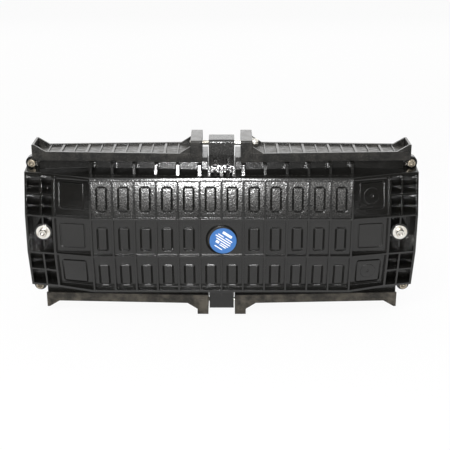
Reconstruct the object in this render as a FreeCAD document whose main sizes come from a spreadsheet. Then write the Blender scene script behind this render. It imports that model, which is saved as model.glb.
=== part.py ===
"""Horizontal fibre splice closure, clamped shut by four wedge rails.

X runs along the closure, the front cover faces -Y and +Z is up. The closure stands on the lugs of its
lower rails, so z = 0 is the plane of those lugs and x = y = 0 is the middle of the parting plane. The
pieces are drawn about the closure's centre line and lifted by lug_reach at the end.
"""
import FreeCAD, Part
import math
import os
import re

import Sketcher

Vector = FreeCAD.Vector
Rotation = FreeCAD.Rotation
Placement = FreeCAD.Placement

# Columns of cells on each side of the middle, and ribs along a rail.
COLUMNS = 6
RAIL_BAYS = 6

# Driving dimensions in millimetres. Depths run from the parting plane towards a cover's face, and the
# words half, reach and height are measured from the closure's centre line.
SIZES = {
    # Cover: lengths from the middle
    "body_half": 242.0,
    "bay_half": 207.6,
    "chamber_half": 201.0,
    "column_pitch": 26.5,
    # Cover: heights from the centre line
    "row_half": 24.3,
    "rim_half": 75.0,
    "base_half": 82.3,
    "chamber_height": 71.5,
    # Cover: depths of the rib tops at the grid, at the end wall and at the end face
    "face_depth": 56.0,
    "rim_depth": 48.0,
    "bay_face_depth": 44.5,
    "bay_rim_depth": 30.5,
    "end_face_depth": 37.0,
    "end_rim_depth": 22.5,
    # Cover: cells, ribs and walls
    "cell_depth": 4.0,
    "cell_rim_depth": 6.5,
    "bay_cell_depth": 9.0,
    "wall": 3.5,
    "rib": 2.4,
    "rim_wall": 3.0,
    "end_wall": 3.0,
    # Grooves round a pad in each cell
    "pad_width": 14.4,
    "pad_height": 32.2,
    "pad_drop": 2.3,
    "pad_corner": 2.8,
    "bay_pad_width": 32.0,
    "bay_pad_height": 33.0,
    "groove": 2.6,
    "groove_wall": 1.1,
    "groove_depth": 1.5,
    "bay_groove": 1.8,
    # Moulded round marks in the front cover's right end bay
    "mark_width": 19.0,
    "mark_rise": 0.6,
    "mark_dot": 3.6,
    # Round label, stuck a little off the middle of its grooved seat
    "label_width": 33.0,
    "label_thick": 0.6,
    "label_shift": 1.9,
    "label_drop": 4.2,
    "seat_gap": 0.4,
    "seat_drop": 2.4,
    # Wedge flange along both long sides
    "flange_start": 17.0,
    "flange_end": 224.0,
    "flange_root": 77.0,
    "flange_reach": 94.0,
    "wedge_start": 24.5,
    "wedge_end": 15.0,
    "gusset": 3.0,
    "gusset_depth": 41.0,
    "gusset_gap": 2.0,
    "gusset_rise": 1.8,
    # Anchor blocks on the front cover
    "block_half": 15.6,
    "block_depth": 15.0,
    "block_reach": 113.0,
    "block_gap": 0.4,
    "block_round": 3.5,
    # Ends: ports, boss and ears
    "end_floor": 6.0,
    "tube_wall": 3.0,
    "port_bore": 17.0,
    "bolt_x": 221.5,
    "boss_width": 22.0,
    "boss_depth": 32.0,
    "ear_x": 234.6,
    "ear_height": 82.0,
    "ear_width": 16.0,
    "ear_thick": 5.5,
    "ear_room_gap": 0.6,
    # Seals
    "seal_width": 4.0,
    "seal_thick": 4.0,
    "seal_height": 76.0,
    "seal_x": 205.0,
    "plug_gap": 0.1,
    "plug_recess": 1.5,
    "plug_cup": 10.0,
    "plug_skin": 3.0,
    # Clamp rails
    "rail_length": 208.2,
    "rail_gap": 0.3,
    "web_gap": 0.5,
    "web": 2.5,
    "lip": 3.0,
    "lip_reach": 88.5,
    "rail_reach": 99.5,
    "rail_rib": 3.2,
    "rail_low_rib": 1.8,
    "rail_low_rise": 1.6,
    "rail_step": 0.6,
    "lug_length": 14.0,
    "lug_reach": 115.5,
    "lug_round": 2.5,
    "end_plate": 3.0,
    "plate_reach": 108.0,
    "lug_gusset": 17.0,
    "plate_gusset": 18.0,
    "tight_gap": 1.0,
    "upper_slack": 7.1,
    "lower_slack": 0.4,
    # Threaded pieces
    "screw_width": 6.0,
    "hole_width": 6.6,
    "head_width": 10.0,
    "head_height": 6.0,
    "socket_width": 5.0,
    "socket_deep": 3.0,
    "nut_width": 10.0,
    "nut_height": 5.0,
    "nut_gap": 0.1,
    "thread_gap": 0.05,
    "washer_width": 18.0,
    "small_washer": 12.0,
    "washer_thick": 1.6,
    "tension_length": 80.0,
    "tension_height": 106.0,
    "thread_spare": 2.0,
    # Splice carrier inside the rear cover
    "frame_half_x": 156.0,
    "frame_half_z": 64.0,
    "frame_depth": 34.0,
    "frame_thick": 2.0,
    "frame_screw_x": 130.0,
    "frame_screw_z": 46.0,
    "frame_boss": 10.0,
    "tray_half_x": 128.0,
    "tray_half_z": 52.0,
    "tray_corner": 14.0,
    "tray_height": 10.0,
    "tray_wall": 1.5,
    "lid_thick": 1.5,
    "comb_length": 64.0,
    "comb_height": 26.0,
    "comb_thick": 5.0,
    "comb_slot": 2.6,
    "comb_pitch": 4.6,
    "stud_x": 112.0,
    "stud_width": 5.0,
    "stud_spare": 1.0,
    "knob_width": 16.0,
    "knob_height": 6.0,
    "clamp_x": 147.0,
    "clamp_width": 9.0,
    "clamp_length": 14.0,
    "clamp_thick": 6.0,
    "small_screw": 4.0,
    "small_head": 8.0,
    "small_head_height": 2.6,
    "small_bite": 8.0,
    "bite_gap": 1.0,
}

COMB_SLOTS = 5

DOC = FreeCAD.newDocument("splice_closure")
NODES = []


def make_sheet():
    """Keep the driving dimensions in a spreadsheet, one aliased cell each."""
    sheet = DOC.addObject("Spreadsheet::Sheet", "sizes")
    for row, (alias, value) in enumerate(SIZES.items(), start=1):
        sheet.set(f"A{row}", alias)
        sheet.set(f"B{row}", str(value))
        sheet.setAlias(f"B{row}", alias)
    DOC.recompute()
    return sheet


SHEET = make_sheet()


def size(alias):
    """A driving dimension read back from the sheet."""
    return float(SHEET.get(alias))


def sized(text):
    """An expression in which each size's name points at its cell."""
    return re.sub(r"[a-z_]+", lambda word: f"sizes.{word[0]}" if word[0] in SIZES else word[0], str(text))


def along_wedge(x):
    """The wedge flange's depth at a distance from the middle, as an expression."""
    slope = "(wedge_end - wedge_start) / (flange_end - flange_start)"
    return f"(wedge_start + {slope} * (({x}) - flange_start))"


# Distances that several pieces share.
GRID_HALF = f"{COLUMNS} * column_pitch"
END_ROW = "(row_half + rim_half) / 2"
INNER_PORT = "(3 * row_half + rim_half) / 4"
OUTER_PORT = "(row_half + 3 * rim_half) / 4"
FACE_FLOOR = "face_depth - cell_depth"
RAIL_START = "block_half + tight_gap"
RAIL_INNER = f"{along_wedge(RAIL_START)} + rail_gap"
RAIL_OUTER_END = f"{along_wedge(f'{RAIL_START} + rail_length')} + rail_gap"
WEB_LOW = "flange_reach + web_gap"
WEB_HIGH = "flange_reach + web_gap + web"
LUG_FACE = f"({RAIL_INNER} + lip)"


def box(name, x, y, z):
    """A block between the (low, high) expressions given for each axis."""
    solid = DOC.addObject("Part::Box", name)
    for side, axis, (low, high) in (("Length", "x", x), ("Width", "y", y), ("Height", "z", z)):
        solid.setExpression(side, sized(f"({high}) - ({low})"))
        solid.setExpression(f"Placement.Base.{axis}", sized(low))
    return solid


TURN = {
    "x": Rotation(Vector(0, 1, 0), 90),
    "y": Rotation(Vector(1, 0, 0), -90),
    "z": Rotation(),
}


def stand(solid, axis, start):
    """Point a drawn solid's own Z along an axis and bind where it starts."""
    solid.Placement = Placement(Vector(), TURN[axis])
    for letter, text in zip("xyz", start):
        solid.setExpression(f"Placement.Base.{letter}", sized(text))
    return solid


def cylinder(name, width, length, axis, start):
    """A round bar of the given width that starts at a point and runs along an axis."""
    solid = DOC.addObject("Part::Cylinder", name)
    solid.setExpression("Radius", sized(f"({width}) / 2"))
    solid.setExpression("Height", sized(length))
    return stand(solid, axis, start)


def cone(name, start_width, end_width, length, axis, start):
    """A round bar that changes width from its start to its end, along an axis."""
    solid = DOC.addObject("Part::Cone", name)
    solid.setExpression("Radius1", sized(f"({start_width}) / 2"))
    solid.setExpression("Radius2", sized(f"({end_width}) / 2"))
    solid.setExpression("Height", sized(length))
    return stand(solid, axis, start)


def hexagon(name, across, length, axis, start):
    """A hexagonal bar, measured across its flats."""
    solid = DOC.addObject("Part::Prism", name)
    solid.Polygon = 6
    solid.setExpression("Circumradius", sized(f"({across}) / sqrt(3)"))
    solid.setExpression("Height", sized(length))
    return stand(solid, axis, start)


def fuse(name, *shapes):
    """One solid from several."""
    result = DOC.addObject("Part::MultiFuse", name)
    result.Shapes = list(shapes)
    result.Refine = True
    return result


def pair(kind, name, base, tool):
    """A boolean of two shapes."""
    result = DOC.addObject(kind, name)
    result.Base = base
    result.Tool = tool
    result.Refine = True
    return result


def common(name, base, tool):
    """What two shapes share."""
    return pair("Part::Common", name, base, tool)


def cut(name, base, *tools):
    """A solid with one or more tools taken out of it."""
    return pair("Part::Cut", name, base, tools[0] if len(tools) == 1 else fuse(f"{name}_tools", *tools))


def mirrored(name, source, normal):
    """The mirror image of a solid in a plane through the origin."""
    image = DOC.addObject("Part::Mirroring", name)
    image.Source = source
    image.Normal = Vector(*normal)
    return image


def draw(sketch, points):
    """Close a sketch through points whose coordinates are bound to the sheet."""
    count = len(points)
    ring = [Vector(math.cos(turn), math.sin(turn), 0)
            for turn in (2 * math.pi * index / count for index in range(count))]
    for index in range(count):
        sketch.addGeometry(Part.LineSegment(ring[index], ring[(index + 1) % count]))
    for index in range(count):
        sketch.addConstraint(Sketcher.Constraint("Coincident", index, 2, (index + 1) % count, 1))
    for index, (across, up) in enumerate(points):
        for kind, text, start in (("DistanceX", across, ring[index].x), ("DistanceY", up, ring[index].y)):
            place = sketch.addConstraint(Sketcher.Constraint(kind, -1, 1, index, 1, start))
            sketch.setExpression(f"Constraints[{place}]", sized(text))
    return sketch


def station(name, x, points):
    """A closed outline of (depth, height) points, across the closure at x."""
    sketch = draw(DOC.addObject("Sketcher::SketchObject", name), points)
    sketch.Placement.Rotation = Rotation(Vector(1, 1, 1), 120)
    sketch.setExpression("Placement.Base.x", sized(x))
    return sketch


def loft(name, *stations):
    """A straight-sided solid through outlines."""
    solid = DOC.addObject("Part::Loft", name)
    solid.Sections = list(stations)
    solid.Solid = True
    solid.Ruled = True
    return solid


def plan(name, points, z, height):
    """A slab with an outline of (x, depth) points, from a level z upwards."""
    sketch = draw(DOC.addObject("Sketcher::SketchObject", f"{name}_plan"), points)
    sketch.setExpression("Placement.Base.z", sized(z))
    slab = DOC.addObject("Part::Extrusion", name)
    slab.Base = sketch
    slab.DirMode = "Custom"
    slab.Dir = Vector(0, 0, 1)
    slab.Solid = True
    slab.setExpression("LengthFwd", sized(height))
    return slab


def fin(name, points, y, thick):
    """A plate with an outline of (x, height) points, from a depth y backwards."""
    sketch = draw(DOC.addObject("Sketcher::SketchObject", f"{name}_side"), points)
    sketch.Placement.Rotation = Rotation(Vector(1, 0, 0), 90)
    sketch.setExpression("Placement.Base.y", sized(y))
    plate = DOC.addObject("Part::Extrusion", name)
    plate.Base = sketch
    plate.DirMode = "Custom"
    plate.Dir = Vector(0, 1, 0)
    plate.Solid = True
    plate.setExpression("LengthFwd", sized(thick))
    return plate


def keep(solid, label):
    """Name a finished piece and lift it from the centre line to where it stands."""
    solid.Label = label
    solid.setExpression("Placement.Base.z", sized("lug_reach"))
    NODES.append(solid)
    return solid


def copies(label, master, places):
    """A group of copies of one piece, as a node of separate solids."""
    DOC.recompute()
    group = DOC.addObject("Part::Feature", f"group_{label}")
    shapes = [master.Shape.transformed(place.toMatrix(), True) for place in places]
    group.Shape = shapes[0] if len(shapes) == 1 else Part.makeCompound(shapes)
    return keep(group, label)


def at(x, y, z, turn=Rotation()):
    """A place about the centre line."""
    return Placement(Vector(x, y, z), turn)


# Covers

def cover_outline(name, x, face, rim):
    """The rib tops' outline: a flat middle row, two sloping rows and drafted sides."""
    foot = f"(rim_half + (base_half - rim_half) * ({rim}) / rim_depth)"
    half = [("0", foot), (rim, "rim_half"), (face, "row_half")]
    lower = [(depth, f"-({height})") for depth, height in half]
    return station(name, x, lower + half[::-1])


def floor_outline(name, x, face, rim, side):
    """The cell floors' outline, just inside the rim walls."""
    half = [("0", side), (rim, side), (face, "row_half")]
    lower = [(depth, f"-({height})") for depth, height in half]
    return station(name, x, lower + half[::-1])


def layer(name, rise, side="rim_half - rim_wall / 2"):
    """Half a cover up to its cell floors plus a rise: the grid, then the sloping end bay."""
    grid = (f"{FACE_FLOOR} + ({rise})", f"rim_depth - cell_rim_depth + ({rise})")
    bay_in = (f"face_depth - bay_cell_depth + ({rise})", f"rim_depth - bay_cell_depth + ({rise})")
    bay_out = (f"bay_face_depth - cell_depth + ({rise})", f"bay_rim_depth - cell_depth + ({rise})")
    columns = loft(f"{name}_grid",
                   floor_outline(f"{name}_middle", "0", *grid, side),
                   floor_outline(f"{name}_column_end", GRID_HALF, *grid, side))
    bay = loft(f"{name}_bay",
               floor_outline(f"{name}_bay_start", GRID_HALF, *bay_in, side),
               floor_outline(f"{name}_bay_end", "bay_half", *bay_out, side))
    return columns, bay


def ring_points(width, height, corner):
    """An upright rectangle's (x, z) points with its corners cut."""
    quarter = [(width / 2, height / 2 - corner), (width / 2 - corner, height / 2)]
    ring = quarter + [(-x, z) for x, z in quarter[::-1]]
    return ring + [(-x, -z) for x, z in ring]


def corner_points(width, height):
    """An upright rectangle's (x, z) points."""
    upper = [(width / 2, height / 2), (-width / 2, height / 2)]
    return upper + [(-x, -z) for x, z in upper]


def prism(low, low_points, high, high_points):
    """A block between outlines of (x, z) points at two depths."""
    wires = []
    for depth, points in ((low, low_points), (high, high_points)):
        spots = [Vector(x, depth, z) for x, z in points]
        wires.append(Part.makePolygon(spots + spots[:1]))
    return Part.makeLoft(wires, True, True)


def pad_grooves(name, centres, tilt):
    """Grooves with sloping walls round the grid's pads, tilted in the rows above and below the middle."""
    low = -size("groove_depth")
    high = size("groove_depth") / 2
    outside = []
    inside = []
    for level in (low, high):
        spread = 2 * size("groove_wall") * level / size("groove_depth")
        width, height = size("pad_width") + spread, size("pad_height") + spread
        outside += [level, ring_points(width, height, size("pad_corner"))]
        narrow = 2 * size("groove") + 2 * spread
        inside += [level, corner_points(width - narrow, height - narrow)]
    tool = prism(*outside).cut(prism(*inside))
    solids = []
    for x, z, row in centres:
        depth = size("face_depth") - size("cell_depth")
        if row:
            depth -= (abs(z) - size("row_half")) * math.tan(math.radians(tilt))
        place = at(x, depth, z, Rotation(Vector(1, 0, 0), row * tilt))
        solids.append(tool.transformed(place.toMatrix(), True))
    group = DOC.addObject("Part::Feature", name)
    group.Shape = Part.makeCompound(solids)
    return group


def bay_pad_tubes(name, centres):
    """Upright tubes with a bay pad groove's section over the cells of the end bay."""
    width, height, groove = size("bay_pad_width"), size("bay_pad_height"), size("bay_groove")
    depth = size("face_depth")
    outline = ring_points(width, height, size("pad_corner"))
    inside = corner_points(width - 2 * groove, height - 2 * groove)
    tube = prism(0, outline, depth, outline).cut(prism(0, inside, depth, inside))
    group = DOC.addObject("Part::Feature", name)
    group.Shape = Part.makeCompound([tube.translated(Vector(x, 0, z)) for x, z in centres])
    return group


def gussets():
    """Triangular ribs that brace the wedge flange against the side wall at each column line."""
    solids = []
    top = size("lip_reach") - size("gusset_gap")
    slope = (size("wedge_end") - size("wedge_start")) / (size("flange_end") - size("flange_start"))
    for column in range(1, COLUMNS + 1):
        x = column * size("column_pitch")
        wedge = size("wedge_start") + slope * (x - size("flange_start"))
        depth = size("gusset_depth") + min(0.0, wedge - size("wedge_start"))
        root = size("rim_half") - size("rim_wall") / 2
        corners = [Vector(0, wedge / 2, root), Vector(0, depth, root), Vector(0, depth, size("rim_half")),
                   Vector(0, wedge + size("gusset_rise"), top), Vector(0, wedge / 2, top)]
        face = Part.Face(Part.makePolygon(corners + corners[:1]))
        plate = face.extrude(Vector(size("gusset"), 0, 0))
        for turn in (1, -1):
            copy = plate.translated(Vector(x - size("gusset") / 2, 0, 0))
            solids.append(copy if turn > 0 else copy.mirror(Vector(), Vector(0, 0, 1)))
    group = DOC.addObject("Part::Feature", "gussets")
    group.Shape = Part.makeCompound(solids)
    return group


def rib_grid():
    """Plates on every column line, row line, end wall and rim of half a cover, before trimming."""
    tall = ("-base_half", "base_half")
    deep = ("0", "face_depth")
    plates = [box("rib_middle", ("0", "rib / 2"), deep, tall)]
    for column in range(1, COLUMNS + 1):
        line = f"{column} * column_pitch"
        plates.append(box(f"rib_column_{column}", (f"{line} - rib / 2", f"{line} + rib / 2"), deep, tall))
    plates.append(box("rib_end_wall", ("bay_half - end_wall", "bay_half"), deep, tall))
    plates.append(box("rib_end_face", ("body_half - end_wall", "body_half"), deep, tall))
    whole = ("0", "body_half")
    web = ("bolt_x - rib / 2", "bolt_x + rib / 2")
    end = ("bay_half", "body_half")
    for name, line in (("row_upper", "row_half"), ("row_lower", "-row_half")):
        plates.append(box(f"rib_{name}", whole, deep, (f"{line} - rib / 2", f"{line} + rib / 2")))
    for name, line in (("end_upper", END_ROW), ("end_lower", f"-{END_ROW}")):
        plates.append(box(f"rib_{name}", end, deep, (f"{line} - rib / 2", f"{line} + rib / 2")))
    plates.append(box("rib_web", web, deep, tall))
    plates.append(box("rim_upper", whole, deep, ("rim_half - rim_wall", "base_half")))
    plates.append(box("rim_lower", whole, deep, ("-base_half", "rim_wall - rim_half")))
    return fuse("rib_grid", *plates)


def cover_half(chamber):
    """Half of a cover, from the middle to one end, with its mating face on the parting plane."""
    envelope = loft("envelope",
                    cover_outline("envelope_middle", "0", "face_depth", "rim_depth"),
                    cover_outline("envelope_grid", GRID_HALF, "face_depth", "rim_depth"),
                    cover_outline("envelope_bay", "bay_half", "bay_face_depth", "bay_rim_depth"),
                    cover_outline("envelope_end", "body_half", "end_face_depth", "end_rim_depth"))
    seat_inside = "label_width + 2 * seat_gap"
    seat_width = f"{seat_inside} + 2 * groove"
    seat_room = cylinder("seat_room", seat_width, "face_depth", "y", ("0", FACE_FLOOR, "-seat_drop"))
    pocket_room = box("pocket_room", ("bay_half", "body_half - end_wall"), ("boss_depth", "face_depth"),
                      ("rib / 2 - row_half", "row_half - rib / 2"))
    ribs = cut("ribs", common("trimmed_ribs", envelope, rib_grid()), seat_room, pocket_room)
    columns, bay = layer("floor", "0")
    groove_bay = layer("groove_level", "-groove_depth", "rim_half - 2 * rim_wall")[1]
    pitch = size("column_pitch")
    row = (size("row_half") + size("rim_half")) / 2
    fall = size("face_depth") - size("cell_depth") - size("rim_depth") + size("cell_rim_depth")
    tilt = math.degrees(math.atan2(fall, size("rim_half") - size("rim_wall") / 2 - size("row_half")))
    pads = [((column + 0.5) * pitch, turn * row - size("pad_drop"), turn)
            for column in range(COLUMNS) for turn in (-1, 0, 1) if column or turn]
    bay_x = (COLUMNS * pitch + size("bay_half")) / 2
    bay_pads = [(bay_x, turn * row) for turn in (-1, 0, 1)]
    seat_start = ("0", f"{FACE_FLOOR} - groove_depth", "-seat_drop")
    grooves = [pad_grooves("pad_grooves", pads, tilt),
               cut("bay_pad_grooves", bay_pad_tubes("bay_pads", bay_pads), groove_bay),
               cut("seat_groove",
                   cone("seat_outside", f"{seat_width} - 2 * groove_wall", seat_width, "groove_depth", "y",
                        seat_start),
                   cone("seat_inside", f"{seat_inside} + 2 * groove_wall", seat_inside, "groove_depth", "y",
                        seat_start))]
    wedge = [("flange_start", "0"), ("flange_end", "0"), ("flange_end", "wedge_end"),
             ("flange_start", "wedge_start")]
    flange_width = "flange_reach - flange_root"
    flanges = [plan("flange_upper", wedge, "flange_root", flange_width),
               plan("flange_lower", wedge, "-flange_reach", flange_width)]
    inside = "bay_half - end_wall"
    end_length = f"body_half - ({inside})"
    ends = [box("end_plate_floor", (inside, "body_half"), ("0", "end_floor"), ("-rim_half", "rim_half")),
            cylinder("boss", "boss_width", "boss_depth", "y", ("bolt_x", "0", "0"))]
    holes = [cylinder("boss_hole", "hole_width", "boss_depth", "y", ("bolt_x", "0", "0"))]
    for name, height in (("inner_upper", INNER_PORT), ("outer_upper", OUTER_PORT),
                         ("inner_lower", f"-{INNER_PORT}"), ("outer_lower", f"-{OUTER_PORT}")):
        ends.append(cylinder(f"tube_{name}", "port_bore + 2 * tube_wall", end_length, "x",
                             (inside, "0", height)))
        holes.append(cylinder(f"bore_{name}", "port_bore", "body_half - chamber_half", "x",
                              ("chamber_half", "0", height)))
    for name, turn in (("upper", ""), ("lower", "-")):
        height = f"{turn}ear_height"
        ends.append(cylinder(f"ear_{name}", "ear_width", "ear_thick", "y", ("ear_x", "0", height)))
        holes.append(cylinder(f"ear_hole_{name}", "hole_width", "ear_thick", "y", ("ear_x", "0", height)))
        holes.append(cylinder(f"ear_room_{name}", "2 * nut_width / sqrt(3) + 2 * ear_room_gap",
                              "2 * head_height", "y", ("ear_x", "ear_thick", height)))
    ends.append(box("ear_web", ("bay_half", "body_half"), ("0", "ear_thick"),
                    ("-ear_height", "ear_height")))
    past = box("past_parting", ("0", "body_half"), ("-base_half", "0"), ("-base_half", "base_half"))
    body = fuse("cover_body", columns, bay, ribs, gussets(), *flanges, *ends)
    return cut("cover_half", body, chamber, seal_ring("seal_groove"), past, *grooves, *holes)


def chamber_outline(name, x, face, rim):
    """The splice chamber's outline, one wall inside the cell floors."""
    half = [("0", "chamber_height"), (f"{rim} - wall", "chamber_height"), (f"{face} - wall", "row_half")]
    lower = [(depth, f"-({height})") for depth, height in half]
    return station(name, x, lower + half[::-1])


def chamber_room():
    """Half of the room inside a cover."""
    return loft("chamber",
                chamber_outline("chamber_middle", "0", FACE_FLOOR, "rim_depth - cell_rim_depth"),
                chamber_outline("chamber_grid", GRID_HALF, "face_depth - bay_cell_depth",
                                "rim_depth - bay_cell_depth"),
                chamber_outline("chamber_end", "chamber_half", "bay_face_depth - cell_depth",
                                "bay_rim_depth - cell_depth"))


def seal_ring(name):
    """Half of the seal's path: a square cord along the side and across the end wall."""
    outer = box(f"{name}_outer", ("0", "seal_x + seal_width / 2"), ("-seal_thick / 2", "seal_thick / 2"),
                ("-seal_height - seal_width / 2", "seal_height + seal_width / 2"))
    inner = box(f"{name}_inner", ("0", "seal_x - seal_width / 2"), ("-seal_thick / 2", "seal_thick / 2"),
                ("seal_width / 2 - seal_height", "seal_height - seal_width / 2"))
    return cut(name, outer, inner)


def rounded_along(name, block, turn, radius):
    """A block with its two long edges rounded, at its top or, for a turn of -1, at its bottom."""
    DOC.recompute()
    far = max(turn * corner.Z for corner in block.Shape.Vertexes)
    chosen = []
    for index, edge in enumerate(block.Shape.Edges, start=1):
        ends = [vertex.Point for vertex in edge.Vertexes]
        level = all(abs(turn * end.z - far) < Part.Precision.confusion() for end in ends)
        if level and abs(ends[0].y - ends[1].y) < Part.Precision.confusion():
            chosen.append((index, radius, radius))
    rounded = DOC.addObject("Part::Fillet", name)
    rounded.Base = block
    rounded.Edges = chosen
    return rounded


def moulded_marks(chamber):
    """Low round marks with a dot in the middle, on the upper and lower pads of a cover's end bay."""
    bay = layer("mark_level", "mark_rise")[1]
    place = f"({GRID_HALF} + bay_half) / 2"
    discs = []
    for name, turn in (("upper", ""), ("lower", "-")):
        start = (place, "0", f"{turn}{END_ROW}")
        disc = cylinder(f"mark_disc_{name}", "mark_width", "face_depth", "y", start)
        dot = cylinder(f"mark_hole_{name}", "mark_dot", "face_depth", "y", start)
        discs.append(cut(f"mark_{name}", disc, dot))
    return cut("marks", common("mark_posts", bay, fuse("mark_discs", *discs)), chamber)


def anchor_blocks():
    """The two blocks that the tension screws pass through, with ribs down to the front cover."""
    pieces = []
    holes = []
    across = ("-block_half", "block_half")
    for name, turn in (("upper", 1), ("lower", -1)):
        def rise(low, high):
            return (low, high) if turn > 0 else (f"-({high})", f"-({low})")
        block = box(f"block_{name}", across, ("-block_depth", "block_depth"),
                    rise("base_half + block_gap", "block_reach"))
        pieces.append(rounded_along(f"round_block_{name}", block, turn, size("block_round")))
        pieces.append(box(f"block_root_{name}", across, ("-block_depth", "-block_gap"),
                          rise("seal_height + seal_width", "base_half + block_gap")))
        for index, line in enumerate(("rib / 2 - block_half", "0", "block_half - rib / 2")):
            pieces.append(box(f"block_rib_{name}_{index}", (f"{line} - rib / 2", f"{line} + rib / 2"),
                              ("-gusset_depth", "-block_depth"),
                              rise("rim_half - rim_wall / 2", "base_half + block_gap")))
        holes.append(cylinder(f"block_hole_{name}", "hole_width", "2 * block_half", "x",
                              ("-block_half", "0", f"{turn} * tension_height")))
    return pieces, holes


def make_covers():
    """The front and rear covers, from one half drawn once."""
    chamber = chamber_room()
    half = cover_half(chamber)
    rear = fuse("rear_whole", half, mirrored("rear_left", half, (1, 0, 0)))
    front = mirrored("front_whole", rear, (0, 1, 0))
    blocks, block_holes = anchor_blocks()
    marks = mirrored("front_marks", moulded_marks(chamber), (0, 1, 0))
    keep(cut("front_cover", fuse("front_with_blocks", front, marks, *blocks), *block_holes), "front_cover")
    bosses = []
    bites = []
    for name_x, turn_x in (("right", ""), ("left", "-")):
        for name_z, turn_z in (("upper", ""), ("lower", "-")):
            place = (f"{turn_x}frame_screw_x", "frame_depth", f"{turn_z}frame_screw_z")
            name = f"{name_x}_{name_z}"
            bosses.append(cylinder(f"frame_boss_{name}", "frame_boss",
                                   "rim_depth - wall - frame_depth", "y", place))
            bites.append(cylinder(f"frame_bite_{name}", "small_screw + 2 * thread_gap", "small_bite", "y",
                                  place))
    keep(cut("rear_cover", fuse("rear_with_bosses", rear, *bosses), *bites), "rear_cover")


def make_seals():
    """The seal cord between the covers, and the rubber plugs in the cable ports."""
    half = seal_ring("seal_half")
    ring = fuse("seal_whole", half, mirrored("seal_left", half, (1, 0, 0)))
    bores = []
    for name, height in (("inner_upper", INNER_PORT), ("outer_upper", OUTER_PORT),
                         ("inner_lower", f"-{INNER_PORT}"), ("outer_lower", f"-{OUTER_PORT}")):
        bores.append(cylinder(f"seal_bore_{name}", "port_bore", "2 * body_half", "x",
                              ("-body_half", "0", height)))
    keep(cut("seal_cord", ring, *bores), "seal_cord")
    width = "port_bore - 2 * plug_gap"
    end = "body_half - plug_recess"
    plug = cut("port_plug",
               cylinder("plug_body", width, f"{end} - chamber_half", "x", ("chamber_half", "0", "0")),
               cylinder("plug_cup_room", f"{width} - 2 * plug_skin", "plug_cup", "x",
                        (f"{end} - plug_cup", "0", "0")))
    row, rim = size("row_half"), size("rim_half")
    heights = [turn * (near * row + (4 - near) * rim) / 4 for turn in (-1, 1) for near in (1, 3)]
    half_turn = Rotation(Vector(0, 0, 1), 180)
    copies("right_port_plugs", plug, [at(0, 0, height) for height in heights])
    copies("left_port_plugs", plug, [at(0, 0, height, half_turn) for height in heights])


def make_label():
    """The round label in its seat on the front cover."""
    front = f"-({FACE_FLOOR}) - label_thick"
    label = cylinder("label", "label_width", "label_thick", "y", ("0", front, "0"))
    copies("label_disc", label, [at(size("label_shift"), 0, -size("label_drop"))])


# Threaded pieces

def body_sketch(body, name, role, points, lift="0"):
    """A sketch on one of a body's own origin planes, lifted along that plane's normal."""
    sketch = body.newObject("Sketcher::SketchObject", name)
    plane = next(feature for feature in body.Origin.OriginFeatures if feature.Role == role)
    sketch.AttachmentSupport = [(plane, "")]
    sketch.MapMode = "FlatFace"
    sketch.setExpression("AttachmentOffset.Base.z", sized(lift))
    return draw(sketch, points)


def turned(name, points):
    """A body turned about its Z axis from a half profile of (radius, height) points."""
    body = DOC.addObject("PartDesign::Body", name)
    sketch = body_sketch(body, f"{name}_profile", "XZ_Plane", points)
    turn = body.newObject("PartDesign::Revolution", f"{name}_turn")
    turn.Profile = sketch
    turn.ReferenceAxis = (sketch, ["V_Axis"])
    turn.Angle = 360
    return body


def six_points(across):
    """Corners of a hexagon, given across its flats."""
    far = f"({across}) / sqrt(3)"
    near = f"({across}) / sqrt(3) / 2"
    flat = f"({across}) / 2"
    return [(far, "0"), (near, flat), (f"-{near}", flat), (f"-{far}", "0"), (f"-{near}", f"-{flat}"),
            (near, f"-{flat}")]


def cap_screw(name, length):
    """A socket head screw: head above z = 0, shank below it, hexagon socket in the head."""
    shank = "screw_width / 2"
    head = "head_width / 2"
    body = turned(name, [("0", f"-({length})"), (shank, f"-({length})"), (shank, "0"), (head, "0"),
                         (head, "head_height"), ("0", "head_height")])
    socket = body.newObject("PartDesign::Pocket", f"{name}_socket")
    socket.Profile = body_sketch(body, f"{name}_hexagon", "XY_Plane", six_points("socket_width"),
                                 "head_height")
    socket.setExpression("Length", sized("socket_deep"))
    return body


def washer(name, width):
    """A flat washer that lies on z = 0."""
    return turned(name, [("hole_width / 2", "0"), (f"{width} / 2", "0"), (f"{width} / 2", "washer_thick"),
                         ("hole_width / 2", "washer_thick")])


def hex_nut(name):
    """A hexagon nut that lies on z = 0, bored to the screw with the thread's clearance."""
    return cut(name, hexagon(f"{name}_blank", "nut_width", "nut_height", "z", ("0", "0", "0")),
               cylinder(f"{name}_bore", "screw_width + 2 * thread_gap", "nut_height", "z", ("0", "0", "0")))


FORWARD = Rotation(Vector(1, 0, 0), 90)
BACKWARD = Rotation(Vector(1, 0, 0), -90)


def make_end_bolts():
    """The two bolts that clamp the ends, with a washer under each head and each nut."""
    x, depth, thick = size("bolt_x"), size("boss_depth"), size("washer_thick")
    length = "2 * boss_depth + 2 * washer_thick + nut_height + thread_spare"
    ends = (-x, x)
    copies("end_bolts", cap_screw("end_bolt", length),
           [at(end, -depth - thick, 0, FORWARD) for end in ends])
    wide = washer("end_washer", "washer_width")
    copies("end_washers", wide, [at(end, turn * depth, 0, FORWARD if turn < 0 else BACKWARD)
                                 for end in ends for turn in (-1, 1)])
    copies("end_nuts", hex_nut("end_nut"), [at(end, depth + thick, 0, BACKWARD) for end in ends])


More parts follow.
